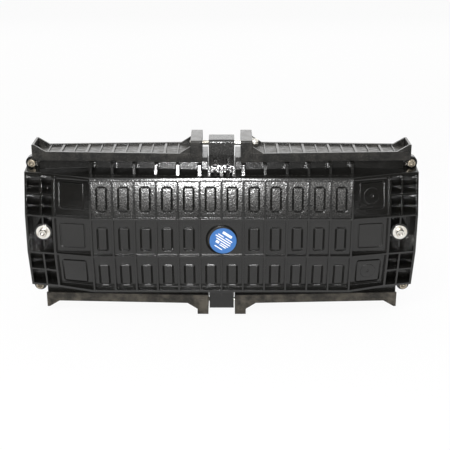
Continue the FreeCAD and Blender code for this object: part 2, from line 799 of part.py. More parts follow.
def make_corner_screws():
    """The four screws through the corner ears, with their nuts behind."""
    thick = size("ear_thick")
    spots = [(turn_x * size("ear_x"), turn_z * size("ear_height"))
             for turn_x in (-1, 1) for turn_z in (-1, 1)]
    screw = cap_screw("corner_screw", "2 * ear_thick + nut_height + thread_spare")
    copies("corner_screws", screw, [at(x, -thick, z, FORWARD) for x, z in spots])
    copies("corner_nuts", hex_nut("corner_nut"), [at(x, thick, z, BACKWARD) for x, z in spots])


# Clamp rails

def rail_section(name, x, inner):
    """A rail's section: two lips that grip the wedge flanges, joined by a web between their middles."""
    outer = f"({inner}) + lip"
    half = [(inner, "lip_reach"), (outer, "lip_reach"), (outer, "rail_reach"), (inner, "rail_reach"),
            (inner, WEB_HIGH)]
    other = [(f"-({depth})", height) for depth, height in half]
    return station(name, x, half + other[::-1] + [(f"-({inner})", WEB_LOW), (inner, WEB_LOW)])


def make_rail():
    """One rail, drawn fully tightened on the upper right flange."""
    channel = rail_channel()
    start = RAIL_START
    end = f"{start} + rail_length"
    lug = box("lug", (start, f"{start} + lug_length"), (f"-{LUG_FACE}", LUG_FACE), (WEB_LOW, "lug_reach"))
    pieces = [channel,
              rounded_along("round_lug", lug, 1, size("lug_round")),
              box("rail_plate", (f"{end} - end_plate", end),
                  (f"-({RAIL_OUTER_END} + lip)", f"{RAIL_OUTER_END} + lip"), (WEB_LOW, "plate_reach"))]
    bay = f"(rail_length - lug_length - end_plate) / {RAIL_BAYS}"
    for index in range(2 * RAIL_BAYS - 1):
        x = f"{start} + lug_length + {bay} * {(index + 1) / 2}"
        reach = f"{along_wedge(x)} + rail_gap + lip / 2"
        tall = index % 2 == 1
        thick = "rail_rib" if tall else "rail_low_rib"
        top = "rail_reach - rail_step" if tall else f"{WEB_HIGH} + rail_low_rise"
        pieces.append(box(f"rail_rib_{index}", (f"{x} - {thick} / 2", f"{x} + {thick} / 2"),
                          (f"-({reach})", reach), (WEB_LOW, top)))
    for name, turn in (("front", -1), ("rear", 1)):
        lug_depth = f"{along_wedge(f'{start} + lug_length + lug_gusset')} + rail_gap"
        plate_depth = RAIL_OUTER_END
        for kind, depth, corners in (
                ("lug", lug_depth, [(f"{start} + lug_length", "plate_reach"),
                                    (f"{start} + lug_length + lug_gusset", WEB_HIGH),
                                    (f"{start} + lug_length", WEB_HIGH)]),
                ("plate", plate_depth, [(f"{end} - end_plate", "plate_reach"),
                                        (f"{end} - end_plate", WEB_HIGH),
                                        (f"{end} - end_plate - plate_gusset", WEB_HIGH)])):
            low = depth if turn > 0 else f"-({depth}) - lip"
            pieces.append(fin(f"{kind}_gusset_{name}", corners, low, "lip"))
    hole = cylinder("lug_hole", "hole_width", "lug_length", "x", (start, "0", "tension_height"))
    return cut("rail", fuse("rail_blank", *pieces), hole)


def rail_channel():
    """The tapered channel of a rail, between its two end sections."""
    return loft("rail_channel",
                rail_section("rail_inner_section", RAIL_START, RAIL_INNER),
                rail_section("rail_outer_section", f"{RAIL_START} + rail_length", RAIL_OUTER_END))


def make_rails():
    """Four rails, their captive nuts and the screws that draw each pair together."""
    right = make_rail()
    outer = f"{RAIL_START} + lug_length"
    pocket = hexagon("nut_pocket", "nut_width + 2 * nut_gap", "nut_height", "x",
                     (f"{outer} - nut_height", "0", "tension_height"))
    left = cut("rail_with_pocket", right, pocket)
    nut = hex_nut("tension_nut")
    screw = cap_screw("tension_screw", "tension_length - washer_thick")
    ring = washer("tension_washer", "small_washer")
    lug = size("block_half") + size("tight_gap") + size("lug_length")
    along_x = Rotation(Vector(0, 1, 0), 90)
    for level, turn, slack in (("upper", 1, size("upper_slack")), ("lower", -1, size("lower_slack"))):
        height = turn * size("tension_height")
        roll = Rotation() if turn > 0 else Rotation(Vector(1, 0, 0), 180)
        copies(f"{level}_right_rail", right, [at(slack, 0, 0, roll)])
        copies(f"{level}_left_rail", left, [at(-slack, 0, 0, Rotation(Vector(0, 0, 1), 180) * roll)])
        face = lug + slack
        copies(f"{level}_tension_washer", ring, [at(face, 0, height, along_x)])
        copies(f"{level}_tension_screw", screw, [at(face + size("washer_thick"), 0, height, along_x)])
        copies(f"{level}_tension_nut", nut, [at(-face, 0, height, along_x)])


# Splice carrier

def tray_points(half_x, half_z, corner):
    """A tray's outline seen from the front, with its corners cut."""
    quarter = [(half_x, f"({half_z}) - ({corner})"), (f"({half_x}) - ({corner})", half_z)]
    points = list(quarter)
    points += [(f"-({x})", z) for x, z in quarter[::-1]]
    points += [(f"-({x})", f"-({z})") for x, z in quarter]
    points += [(x, f"-({z})") for x, z in quarter[::-1]]
    return points


def tray(name, back):
    """An open splice tray with its floor at the back, from a depth forwards."""
    body = DOC.addObject("PartDesign::Body", name)
    block = body.newObject("PartDesign::Pad", f"{name}_block")
    block.Profile = body_sketch(body, f"{name}_outline", "XZ_Plane",
                                tray_points("tray_half_x", "tray_half_z", "tray_corner"), f"-({back})")
    block.setExpression("Length", sized("tray_height"))
    room = body.newObject("PartDesign::Pocket", f"{name}_room")
    room.Profile = body_sketch(body, f"{name}_inside", "XZ_Plane",
                               tray_points("tray_half_x - tray_wall", "tray_half_z - tray_wall",
                                           "tray_corner - tray_wall / 2"),
                               f"tray_height - ({back})")
    room.setExpression("Length", sized("tray_height - tray_wall"))
    return body


def with_stud_holes(name, solid, low, high):
    """A piece with the holes that the two studs pass through."""
    holes = [cylinder(f"{name}_stud_{side}", "stud_width + 2 * nut_gap", f"({high}) - ({low})", "y",
                      (f"{turn}stud_x", low, "0")) for side, turn in (("right", ""), ("left", "-"))]
    return cut(name, solid, *holes)


def make_carrier():
    """The frame on the rear cover's bosses, the stacked trays, their lid, studs and knobs."""
    front = "frame_depth - frame_thick"
    plate = box("frame_plate", ("-frame_half_x", "frame_half_x"), (front, "frame_depth"),
                ("-frame_half_z", "frame_half_z"))
    holes = []
    for name_x, turn_x in (("right", ""), ("left", "-")):
        for name_z, turn_z in (("upper", ""), ("lower", "-")):
            name = f"{name_x}_{name_z}"
            holes.append(cylinder(f"frame_hole_{name}", "small_screw + 2 * nut_gap", "frame_thick", "y",
                                  (f"{turn_x}frame_screw_x", front, f"{turn_z}frame_screw_z")))
            holes.append(cylinder(f"clamp_bite_{name}", "small_screw + 2 * thread_gap", "frame_thick", "y",
                                  (f"{turn_x}clamp_x", front, f"{turn_z}{END_ROW}")))
    studs = [cylinder(f"frame_stud_{side}", "stud_width + 2 * thread_gap", "frame_thick", "y",
                      (f"{turn}stud_x", front, "0")) for side, turn in (("right", ""), ("left", "-"))]
    keep(cut("carrier", plate, *holes, *studs), "tray_frame")
    for index, name in enumerate(("lower", "upper")):
        back = f"{front} - {index} * tray_height"
        level = tray(f"tray_{index}", back)
        keep(with_stud_holes(f"holed_tray_{index}", level, f"{back} - tray_height", back),
             f"{name}_splice_tray")
        keep(comb(f"comb_{index}", f"{back} - tray_wall"), f"{name}_splice_comb")
    top = f"{front} - 2 * tray_height"
    lid = DOC.addObject("PartDesign::Body", "lid")
    sheet = lid.newObject("PartDesign::Pad", "lid_sheet")
    sheet.Profile = body_sketch(lid, "lid_outline", "XZ_Plane",
                                tray_points("tray_half_x", "tray_half_z", "tray_corner"), f"-({top})")
    sheet.setExpression("Length", sized("lid_thick"))
    keep(with_stud_holes("holed_lid", lid, f"{top} - lid_thick", top), "tray_lid")
    stud_length = "frame_thick + 2 * tray_height + lid_thick + knob_height + stud_spare"
    stud = cylinder("stud", "stud_width", stud_length, "y", ("0", f"frame_depth - ({stud_length})", "0"))
    knob_back = f"{top} - lid_thick"
    knob = cut("knob", cylinder("knob_body", "knob_width", "knob_height", "y",
                                ("0", f"{knob_back} - knob_height", "0")),
               cylinder("knob_bore", "stud_width + 2 * thread_gap", "knob_height", "y",
                        ("0", f"{knob_back} - knob_height", "0")))
    sides = [at(turn * size("stud_x"), 0, 0) for turn in (-1, 1)]
    copies("tray_studs", stud, sides)
    copies("tray_knobs", knob, sides)


def comb(name, back):
    """A block of rubber with slots that hold the splice sleeves, on a tray's floor."""
    block = box(f"{name}_block", ("-comb_length / 2", "comb_length / 2"), (f"{back} - comb_thick", back),
                ("-comb_height / 2", "comb_height / 2"))
    slots = []
    for index in range(COMB_SLOTS):
        line = f"({index - (COMB_SLOTS - 1) / 2}) * comb_pitch"
        slots.append(box(f"{name}_slot_{index}", ("-comb_length / 2", "comb_length / 2"),
                         (f"{back} - comb_thick", f"{back} - comb_thick / 2"),
                         (f"{line} - comb_slot / 2", f"{line} + comb_slot / 2")))
    return cut(name, block, *slots)


def make_small_parts():
    """The cable strength member clamps on the frame, and the screws that hold frame and clamps."""
    front = size("frame_depth") - size("frame_thick")
    clamp = cut("clamp",
                box("clamp_block", ("-clamp_width / 2", "clamp_width / 2"), ("-clamp_thick", "0"),
                    ("-clamp_length / 2", "clamp_length / 2")),
                cylinder("clamp_hole", "small_screw + 2 * nut_gap", "clamp_thick", "y",
                         ("0", "-clamp_thick", "0")))
    rows = [turn * (size("row_half") + size("rim_half")) / 2 for turn in (-1, 1)]
    for side, turn in (("right", 1), ("left", -1)):
        copies(f"{side}_cable_clamps", clamp, [at(turn * size("clamp_x"), front, z) for z in rows])
    shank = "small_screw / 2"
    head = "small_head / 2"

    def pan_screw(name, length):
        return turned(name, [("0", f"-({length})"), (shank, f"-({length})"), (shank, "0"), (head, "0"),
                             (head, "small_head_height"), ("0", "small_head_height")])

    spots = [at(turn * size("clamp_x"), front - size("clamp_thick"), z, FORWARD)
             for turn in (-1, 1) for z in rows]
    copies("clamp_screws", pan_screw("clamp_screw", "clamp_thick + frame_thick"), spots)
    corners = [at(turn_x * size("frame_screw_x"), front, turn_z * size("frame_screw_z"), FORWARD)
               for turn_x in (-1, 1) for turn_z in (-1, 1)]
    copies("frame_screws", pan_screw("frame_screw", "frame_thick + small_bite - bite_gap"), corners)


def check_and_export():
    """Stop on any failed object, then write each piece to its own file."""
    DOC.recompute()
    for item in DOC.Objects:
        if "Invalid" in item.State or "Error" in item.State:
            raise RuntimeError(f"{item.Name} failed: {item.State}")
    for piece in NODES:
        if piece.Shape.isNull() or not piece.Shape.isValid() or not piece.Shape.Solids:
            raise RuntimeError(f"{piece.Label} has no valid solid")
    os.makedirs("parts", exist_ok=True)
    for piece in NODES:
        piece.Shape.exportStep(f"parts/{piece.Label}.step")


make_covers()
make_seals()
make_label()
make_end_bolts()
make_corner_screws()
make_rails()
make_carrier()
make_small_parts()
check_and_export()
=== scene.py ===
"""Looks of a fibre splice closure: finishes, fine detail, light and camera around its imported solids.

All places are in metres in the part's own frame: +X along the closure, -Y out of the front cover and
+Z up from the lugs that it stands on. Levels are measured up and down from the middle height.
"""
import logging
import math
from dataclasses import dataclass, replace
from enum import Enum
from typing import Callable, Mapping, Optional, Sequence, Union

import bmesh
import bpy
from mathutils import Matrix, Vector


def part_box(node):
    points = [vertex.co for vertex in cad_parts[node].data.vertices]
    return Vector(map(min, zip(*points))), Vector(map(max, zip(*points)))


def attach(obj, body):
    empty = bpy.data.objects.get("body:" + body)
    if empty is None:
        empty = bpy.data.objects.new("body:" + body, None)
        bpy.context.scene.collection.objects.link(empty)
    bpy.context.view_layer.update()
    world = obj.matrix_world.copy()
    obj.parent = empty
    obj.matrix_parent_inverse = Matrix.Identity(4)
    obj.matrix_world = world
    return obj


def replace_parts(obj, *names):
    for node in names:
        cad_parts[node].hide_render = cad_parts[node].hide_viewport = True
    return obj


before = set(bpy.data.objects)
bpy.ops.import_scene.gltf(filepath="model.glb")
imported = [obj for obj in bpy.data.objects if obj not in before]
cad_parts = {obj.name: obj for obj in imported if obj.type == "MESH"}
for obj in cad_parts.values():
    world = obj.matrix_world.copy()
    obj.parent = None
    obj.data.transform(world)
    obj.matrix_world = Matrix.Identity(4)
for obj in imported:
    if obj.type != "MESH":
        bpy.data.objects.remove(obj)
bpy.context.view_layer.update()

LOG = logging.getLogger("splice_closure")

MM = 0.001
FULL_TURN = 2 * math.pi
MIDDLE_HEIGHT = 115.5 * MM
NOISE_MIDDLE = 0.5

Triple = tuple[float, float, float]
Colour = Triple
Span = tuple[float, float]
Radius = Callable[[float], float]
Key = Union[str, int]

LYING_NORMALS: Span = (0.6, 0.9)
WHITE: Colour = (1.0, 1.0, 1.0)


class Value:
    """A node's output that takes part in Python expressions, each operator adding a Math node."""

    def __init__(self, tree: "ShaderTree", socket: bpy.types.NodeSocket) -> None:
        """Keep the socket and the tree that it belongs to."""
        self.tree = tree
        self.socket = socket

    def _math(self, operation: str, first: "Term", second: "Term") -> "Value":
        """Join two terms by one Math operation."""
        return self.tree.node("ShaderNodeMath", {"operation": operation}, {0: first, 1: second})

    def __add__(self, other: "Term") -> "Value":
        """Sum."""
        return self._math("ADD", self, other)

    __radd__ = __add__

    def __sub__(self, other: "Term") -> "Value":
        """Difference."""
        return self._math("SUBTRACT", self, other)

    def __rsub__(self, other: "Term") -> "Value":
        """Difference from a number."""
        return self._math("SUBTRACT", other, self)

    def __mul__(self, other: "Term") -> "Value":
        """Product."""
        return self._math("MULTIPLY", self, other)

    __rmul__ = __mul__

    def __abs__(self) -> "Value":
        """Distance from zero."""
        return self._math("ABSOLUTE", self, 0.0)

    def larger(self, other: "Term") -> "Value":
        """The larger of two terms."""
        return self._math("MAXIMUM", self, other)


Term = Union[Value, float, Sequence[float]]


class ShaderTree:
    """A node tree of a material or the world, filled by expressions."""

    def __init__(self, owner: bpy.types.ID) -> None:
        """Start an empty tree.

        Args:
            owner: The material or world that the tree belongs to.
        """
        owner.use_nodes = True
        self.nodes = owner.node_tree.nodes
        self.links = owner.node_tree.links
        self.nodes.clear()

    def node(self, kind: str, settings: Optional[Mapping[str, object]] = None,
             sockets: Optional[Mapping[Key, Term]] = None, output: Key = 0) -> Value:
        """Add a node: its settings first, then the values or links of its sockets.

        Args:
            kind: The node's type.
            settings: Its properties, such as its operation.
            sockets: Values or links by socket name or number.
            output: Which of its outputs to hand back.

        Returns:
            The chosen output.
        """
        made = self.nodes.new(kind)
        for key, value in (settings or {}).items():
            setattr(made, key, value)
        for key, term in (sockets or {}).items():
            self._feed(self._find(made.inputs, key), term)
        return Value(self, self._find(made.outputs, output))

    @staticmethod
    def _find(sockets: bpy.types.bpy_prop_collection, key: Key) -> bpy.types.NodeSocket:
        """The socket in use with a name or a number."""
        named = (socket for socket in sockets if socket.enabled and socket.name == key)
        return sockets[key] if isinstance(key, int) else next(named)

    def _feed(self, socket: bpy.types.NodeSocket, term: Term) -> None:
        """Link a value to a socket, or set the socket's own number or colour.

        Args:
            socket: The socket to feed.
            term: A node's output, or a number, a colour or a vector.
        """
        if isinstance(term, Value):
            self.links.new(term.socket, socket)
        elif socket.type == "RGBA":
            socket.default_value = (*term, 1.0)
        else:
            socket.default_value = term

    def place(self) -> Value:
        """The surface point in the part's own frame."""
        return self.node("ShaderNodeTexCoord", output="Object")

    def noise(self, place: Value, size: float, detail: float = 2.0, roughness: float = 0.5) -> Value:
        """Smooth noise from 0 to 1.

        Args:
            place: Where it is read.
            size: Length of its features in metres.
            detail: How many finer layers it has.
            roughness: How strong those layers are.

        Returns:
            The noise value.
        """
        return self.node("ShaderNodeTexNoise", {"noise_dimensions": "3D"},
                         {"Vector": place, "Scale": 1 / size, "Detail": detail, "Roughness": roughness})

    def clouds(self, place: Value, size: float) -> Value:
        """Ragged clouds of a given size, from 0 to 1."""
        return self.noise(place, size, detail=4.0, roughness=0.6)

    def cells(self, place: Value, size: float) -> Value:
        """Distance to the nearest of scattered points, for pores of a given size."""
        return self.node("ShaderNodeTexVoronoi", {"feature": "F1"}, {"Vector": place, "Scale": 1 / size})

    def step(self, value: Value, span: Span) -> Value:
        """A soft step from 0 at a span's first number to 1 at its second, whichever is larger."""
        return self.node("ShaderNodeMapRange", {"interpolation_type": "SMOOTHSTEP"},
                         {"Value": value, "From Min": span[0], "From Max": span[1]})

    def ramp(self, value: Value, span: Span) -> Value:
        """How far a value is into a span: 0 before it and its whole width after it."""
        ends = {"From Min": span[0], "From Max": span[1], "To Max": span[1] - span[0]}
        return self.node("ShaderNodeMapRange", None, {"Value": value, **ends})

    def along(self, place: Value, axis: str) -> Value:
        """A place's distance along one axis, named by its letter."""
        return self.node("ShaderNodeSeparateXYZ", None, {"Vector": place}, axis)

    def lying(self) -> Value:
        """1 on level faces and 0 on upright ones."""
        normal = self.node("ShaderNodeNewGeometry", output="Normal")
        return self.step(abs(self.along(normal, "Z")), LYING_NORMALS)

    def seen_directly(self) -> Value:
        """1 for rays from the eye and for those that gloss or glass sends on, 0 for the rest."""
        eye, gloss, glass = (self.node("ShaderNodeLightPath", output=f"Is {name} Ray")
                             for name in ("Camera", "Glossy", "Transmission"))
        return eye.larger(gloss).larger(glass)

    def mix(self, share: Term, first: Union[Value, Colour], second: Union[Value, Colour]) -> Value:
        """A colour between two colours."""
        return self.node("ShaderNodeMix", {"data_type": "RGBA"},
                         {"Factor": share, "A": first, "B": second}, "Result")

    def bump(self, height: Value) -> Value:
        """A normal from a height in metres."""
        return self.node("ShaderNodeBump", None, {"Strength": 1.0, "Distance": 1.0, "Height": height})

    def stretched(self, place: Value, scale: Triple) -> Value:
        """A place scaled along each axis, so that noise read there draws out into streaks."""
        return self.node("ShaderNodeVectorMath", {"operation": "MULTIPLY"}, {0: place, 1: scale})

    def surface(self, sockets: Mapping[str, Term]) -> None:
        """End the tree in a Principled shader with the given sockets."""
        self.close(self.node("ShaderNodeBsdfPrincipled", None, sockets))

    def close(self, shader: Value, kind: str = "ShaderNodeOutputMaterial") -> None:
        """Link a shader to the tree's new output node."""
        self.links.new(shader.socket, self.nodes.new(kind).inputs["Surface"])


@dataclass(frozen=True)
class Finish:
    """A surface finish with a name of its own."""

    name: str

    def shade(self, tree: ShaderTree) -> None:
        """Fill the material's tree."""
        raise NotImplementedError

    def material(self) -> bpy.types.Material:
        """Make the finish's material, or find it if it is made already.

        Returns:
            The material.
        """
        found = bpy.data.materials.get(self.name)
        if found is None:
            found = bpy.data.materials.new(self.name)
            self.shade(ShaderTree(found))
        return found


@dataclass(frozen=True)
class GrainedCover(Finish):
    """Glossy moulding with a grain, flow clouds and scuffs.

    Its sloping rows are crowned a little, with a fillet under the rim, and the wedge flanges and their
    roots lean back. The floor of the upper row and the upper anchor block carry pale specks: painted
    sparkle in the base colour, a painted highlight that stands in for the grain glinting under the flash.
    """

    dark: Colour
    pale: Colour
    roughness: float = 0.17
    sheen_spread: float = 0.06
    grain_size: float = 1.5 * MM
    grain_depth: float = 0.11 * MM
    cloud_size: float = 35 * MM
    cloud_share: float = 0.8
    scuff_size: float = 2.5 * MM
    scuff_stretch: Triple = (1.0, 1.0, 0.12)
    scuff_limits: Span = (0.36, 0.5)
    scuff_share: float = 0.25
    scuff_roughness: float = 0.2
    row_levels: Span = (24.3 * MM, 73.5 * MM)
    crown: float = 1.1
    fillet_levels: Span = (68.4 * MM, 69.9 * MM)
    fillet_lean: float = math.tan(math.radians(-14))
    rim_levels: Span = (71.5 * MM, 75.2 * MM)
    rim_lean: float = math.tan(math.radians(3.2))
    root_levels: Span = (75.3 * MM, 82.5 * MM)
    flange_levels: Span = (82.5 * MM, 88.5 * MM)
    flange_lean: float = math.tan(math.radians(18.3))
    block_sides: Span = (15.9 * MM, 16.4 * MM)
    block_foot: Span = (83 * MM, 84 * MM)
    block_grain: float = 1.6
    block_painted_sparkle: float = 0.25
    # Pale colour of the specks: painted sparkle, a highlight that stands in for the grain glinting under the
    # flash.
    painted_sparkle: Colour = (0.2, 0.193, 0.184)
    speck_size: float = 1.2 * MM
    speck_limits: Span = (0.44, 0.74)
    painted_sparkle_levels: Span = (14 * MM, 62 * MM)
    painted_sparkle_sides: Span = (159.5 * MM, 158.5 * MM)
    speck_share: float = 0.55
    floor_depth: float = 57.19 * MM
    floor_slope: float = 0.2134
    floor_reach: Span = (0.5 * MM, 0.2 * MM)

    def shade(self, tree: ShaderTree) -> None:
        """Fill the tree with grain, form, clouds, scuffs and specks; the upper block's grain is coarser.

        Args:
            tree: The tree to fill.
        """
        place = tree.place()
        height = tree.along(place, "Z") - MIDDLE_HEIGHT
        level = abs(height)
        aside = abs(tree.along(place, "X"))
        beside = tree.step(aside, self.block_sides)
        block = tree.step(height, self.block_foot) * (1.0 - beside)
        coarse = 1.0 + block * self.block_grain
        proud = abs(tree.along(place, "Y")) + level * self.floor_slope - self.floor_depth
        row_floor = (tree.step(height, self.painted_sparkle_levels) * tree.step(abs(proud), self.floor_reach)
                     * tree.step(aside, self.painted_sparkle_sides))
        # Specks on the upper row's floor and on the upper block are painted sparkle, a highlight painted
        # into the base colour.
        specks = tree.step(tree.noise(place, self.speck_size, detail=1.0), self.speck_limits)
        painted_sparkle_mask = specks * row_floor.larger(block * self.block_painted_sparkle) * self.speck_share
        cloud = tree.clouds(place, self.cloud_size)
        grain = tree.noise(place, self.grain_size, detail=0.0)
        streaks = tree.noise(tree.stretched(place, self.scuff_stretch), self.scuff_size, detail=3.0)
        scuffs = tree.step(streaks * cloud, self.scuff_limits) * self.scuff_share
        plain = tree.mix((cloud + scuffs) * self.cloud_share, self.dark, self.pale)
        sheen = (cloud - NOISE_MIDDLE) * self.sheen_spread
        tree.surface({
            "Base Color": tree.mix(painted_sparkle_mask, plain, self.painted_sparkle),
            "Roughness": self.roughness + sheen + scuffs * self.scuff_roughness,
            "Normal": tree.bump(grain * coarse * self.grain_depth - self._form(tree, level, beside)),
        })

    def _form(self, tree: ShaderTree, level: Value, beside: Value) -> Value:
        """How far the surface falls back by crown, fillet and lean, in metres.

        Args:
            tree: The tree to fill.
            level: The height above or below the middle.
            beside: 0 at the anchor blocks and 1 beside them.

        Returns:
            The depth below the plain faces.
        """
        across = tree.ramp(level, self.row_levels) - (self.row_levels[1] - self.row_levels[0]) / 2
        return (across * across * self.crown
                + tree.ramp(level, self.fillet_levels) * self.fillet_lean
                + tree.ramp(level, self.rim_levels) * self.rim_lean
                + tree.ramp(level, self.root_levels) * self.flange_lean
                + tree.ramp(level, self.flange_levels) * self.flange_lean * beside)


@dataclass(frozen=True)
class MouldedPlastic(Finish):
    """Smooth moulded thermoplastic with faint flow clouds."""

    dark: Colour
    pale: Colour
    roughness: float = 0.4
    sheen_spread: float = 0.15
    cloud_size: float = 20 * MM
    grain_size: float = 0.8 * MM
    grain_depth: float = 0.02 * MM

    def shade(self, tree: ShaderTree) -> None:
        """Fill the tree with clouds and a fine grain.

        Args:
            tree: The tree to fill.
        """
        place = tree.place()
        cloud = tree.clouds(place, self.cloud_size)
        tree.surface({
            "Base Color": tree.mix(cloud, self.dark, self.pale),
            "Roughness": self.roughness + (cloud - NOISE_MIDDLE) * self.sheen_spread,
            "Normal": tree.bump(tree.noise(place, self.grain_size) * self.grain_depth),
        })


@dataclass(frozen=True)
class MottledPlastic(Finish):
    """Blotchy thermoplastic with dust on its level faces and a sheen that is even on the ribs' tops."""

    dark: Colour
    pale: Colour
    dust: Colour
    dust_least: float = 0.35
    specular: float = 0.26
    roughness: float = 0.3
    blotch_roughness: float = 0.18
    sheen: float = 0.68
    sheen_roughness: float = 0.4
    web_levels: Span = (97.2 * MM, 98.2 * MM)
    blotch_size: float = 11 * MM
    blotch_limits: Span = (0.38, 0.68)
    streak_size: float = 3 * MM
    streak_stretch: Triple = (0.35, 1.0, 1.0)
    streak_limits: Span = (0.4, 0.66)
    speck_size: float = 1.2 * MM
    speck_limits: Span = (0.5, 0.8)
    speck_share: float = 0.5
    grain_size: float = 1.5 * MM
    grain_depth: float = 0.2 * MM

    def shade(self, tree: ShaderTree) -> None:
        """Fill the tree with blotches, dust, a streaky sheen and a light grain.

        Args:
            tree: The tree to fill.
        """
        place = tree.place()
        ragged = tree.noise(place, self.blotch_size, detail=5.0, roughness=0.65)
        blotch = tree.step(ragged, self.blotch_limits)
        streaks = tree.noise(tree.stretched(place, self.streak_stretch), self.streak_size, detail=3.0)
        streaky = tree.step(streaks, self.streak_limits)
        raised = tree.step(abs(tree.along(place, "Z") - MIDDLE_HEIGHT), self.web_levels)
        dots = tree.noise(place, self.speck_size, detail=1.0)
        specks = tree.step(dots, self.speck_limits) * self.speck_share
        lying = tree.lying()
        dusty = lying * (self.dust_least + (1.0 - self.dust_least) * blotch)
        clean = tree.mix(blotch, self.dark, self.pale)
        grain = tree.noise(place, self.grain_size, detail=0.0)
        tree.surface({
            "Base Color": tree.mix(specks.larger(dusty), clean, self.dust),
            "Roughness": self.roughness + blotch * self.blotch_roughness,
            "Specular IOR Level": self.specular,
            "Coat Weight": lying * raised.larger(streaky) * self.sheen,
            "Coat Roughness": self.sheen_roughness,
            "Normal": tree.bump(grain * self.grain_depth),
        })


@dataclass(frozen=True)
class ZincSteel(Finish):
    """Plated steel, slightly warm, with turning marks and light smears."""

    colour: Colour = (0.84, 0.82, 0.77)
    stained: Colour = (0.6, 0.55, 0.45)
    roughness: float = 0.14
    smear_roughness: float = 0.16
    smear_size: float = 6 * MM
    stain_limits: Span = (0.45, 0.8)
    mark_size: float = 0.6 * MM
    mark_stretch: Triple = (1.0, 6.0, 1.0)
    mark_depth: float = 0.006 * MM

    def shade(self, tree: ShaderTree) -> None:
        """Fill the tree with smears and fine marks.

        Args:
            tree: The tree to fill.
        """
        place = tree.place()
        smear = tree.clouds(place, self.smear_size)
        marks = tree.noise(tree.stretched(place, self.mark_stretch), self.mark_size)
        tree.surface({
            "Base Color": tree.mix(tree.step(smear, self.stain_limits), self.colour, self.stained),
            "Metallic": 1.0,
            "Roughness": self.roughness + smear * self.smear_roughness,
            "Normal": tree.bump(marks * self.mark_depth),
        })


@dataclass(frozen=True)
class PrintedFilm(Finish):
    """Flat printed film, slightly uneven, with a faint orange peel."""

    colour: Colour
    faded: Colour
    roughness: float = 0.3
    uneven_roughness: float = 0.1
    uneven_size: float = 7 * MM
    peel_size: float = 0.9 * MM
    peel_depth: float = 0.005 * MM

    def shade(self, tree: ShaderTree) -> None:
        """Fill the tree with an uneven print and its peel.

        Args:
            tree: The tree to fill.
        """
        place = tree.place()
        uneven = tree.noise(place, self.uneven_size, detail=3.0)
        peel = tree.noise(place, self.peel_size, detail=1.0)
        tree.surface({
            "Base Color": tree.mix(uneven, self.colour, self.faded),
            "Roughness": self.roughness + uneven * self.uneven_roughness,
            "Normal": tree.bump(peel * self.peel_depth),
        })


@dataclass(frozen=True)
class Rubber(Finish):
    """Soft black rubber with bloom and pores."""

    colour: Colour = (0.012, 0.012, 0.012)
    bloom: Colour = (0.05, 0.05, 0.048)
    roughness: float = 0.6
    bloom_roughness: float = 0.2
    bloom_size: float = 9 * MM
    pore_size: float = 0.7 * MM
    pore_depth: float = 0.03 * MM

    def shade(self, tree: ShaderTree) -> None:
        """Fill the tree with bloom and pores.

        Args:
            tree: The tree to fill.
        """
        place = tree.place()
        bloom = tree.noise(place, self.bloom_size, detail=4.0, roughness=0.65)
        tree.surface({
            "Base Color": tree.mix(bloom, self.colour, self.bloom),
            "Roughness": self.roughness + bloom * self.bloom_roughness,
            "Normal": tree.bump(tree.cells(place, self.pore_size) * self.pore_depth),
        })


@dataclass(frozen=True)
class RolledAluminium(Finish):
    """Rolled sheet with streaks along its length."""

    colour: Colour = (0.72, 0.72, 0.73)
    roughness: float = 0.3
    streak_roughness: float = 0.2
    streak_size: float = 0.8 * MM
    streak_stretch: Triple = (0.03, 1.0, 1.0)
    streak_depth: float = 0.006 * MM

    def shade(self, tree: ShaderTree) -> None:
        """Fill the tree with rolling streaks.

        Args:
            tree: The tree to fill.
        """
        streak = tree.noise(tree.stretched(tree.place(), self.streak_stretch), self.streak_size, detail=3.0)
        tree.surface({
            "Base Color": self.colour,
            "Metallic": 1.0,
            "Roughness": self.roughness + streak * self.streak_roughness,
            "Normal": tree.bump(streak * self.streak_depth),
        })


@dataclass(frozen=True)
class ClearSheet(Finish):
    """Clear plastic sheet with faint haze."""

    colour: Colour = (0.85, 0.88, 0.9)
    roughness: float = 0.08
    haze_roughness: float = 0.12
    cover: float = 0.3
    haze_cover: float = 0.15
    haze_size: float = 25 * MM

    def shade(self, tree: ShaderTree) -> None:
        """Fill the tree with a hazy see-through sheet.

        Args:
            tree: The tree to fill.
        """
        haze = tree.noise(tree.place(), self.haze_size, detail=3.0)
        tree.surface({
            "Base Color": self.colour,
            "Roughness": self.roughness + haze * self.haze_roughness,
            "Alpha": self.cover + haze * self.haze_cover,
        })


@dataclass(frozen=True)
class MattCloth(Finish):
    """Dark matt cloth of the screen that keeps stray light off the front."""

    colour: Colour = (0.015, 0.015, 0.015)

    def shade(self, tree: ShaderTree) -> None:
        """Fill the tree with plain cloth."""
        tree.close(tree.node("ShaderNodeBsdfDiffuse", None, {"Color": self.colour}))


@dataclass(frozen=True)
class PaleFloor(Finish):
    """White floor that keeps the object's shadow and reads as plain white to the eye and in gloss."""

    colour: Colour = (0.9, 0.9, 0.9)
    own_light: float = 0.92

    def shade(self, tree: ShaderTree) -> None:
        """Fill the tree with a lit floor blended with plain white.

        Args:
            tree: The tree to fill.
        """
        lit = tree.node("ShaderNodeBsdfDiffuse", None, {"Color": self.colour})
        white = tree.node("ShaderNodeEmission", None, {"Color": WHITE, "Strength": 1.0})
        share = tree.seen_directly() * self.own_light
        tree.close(tree.node("ShaderNodeMixShader", None, {0: share, 1: lit, 2: white}))
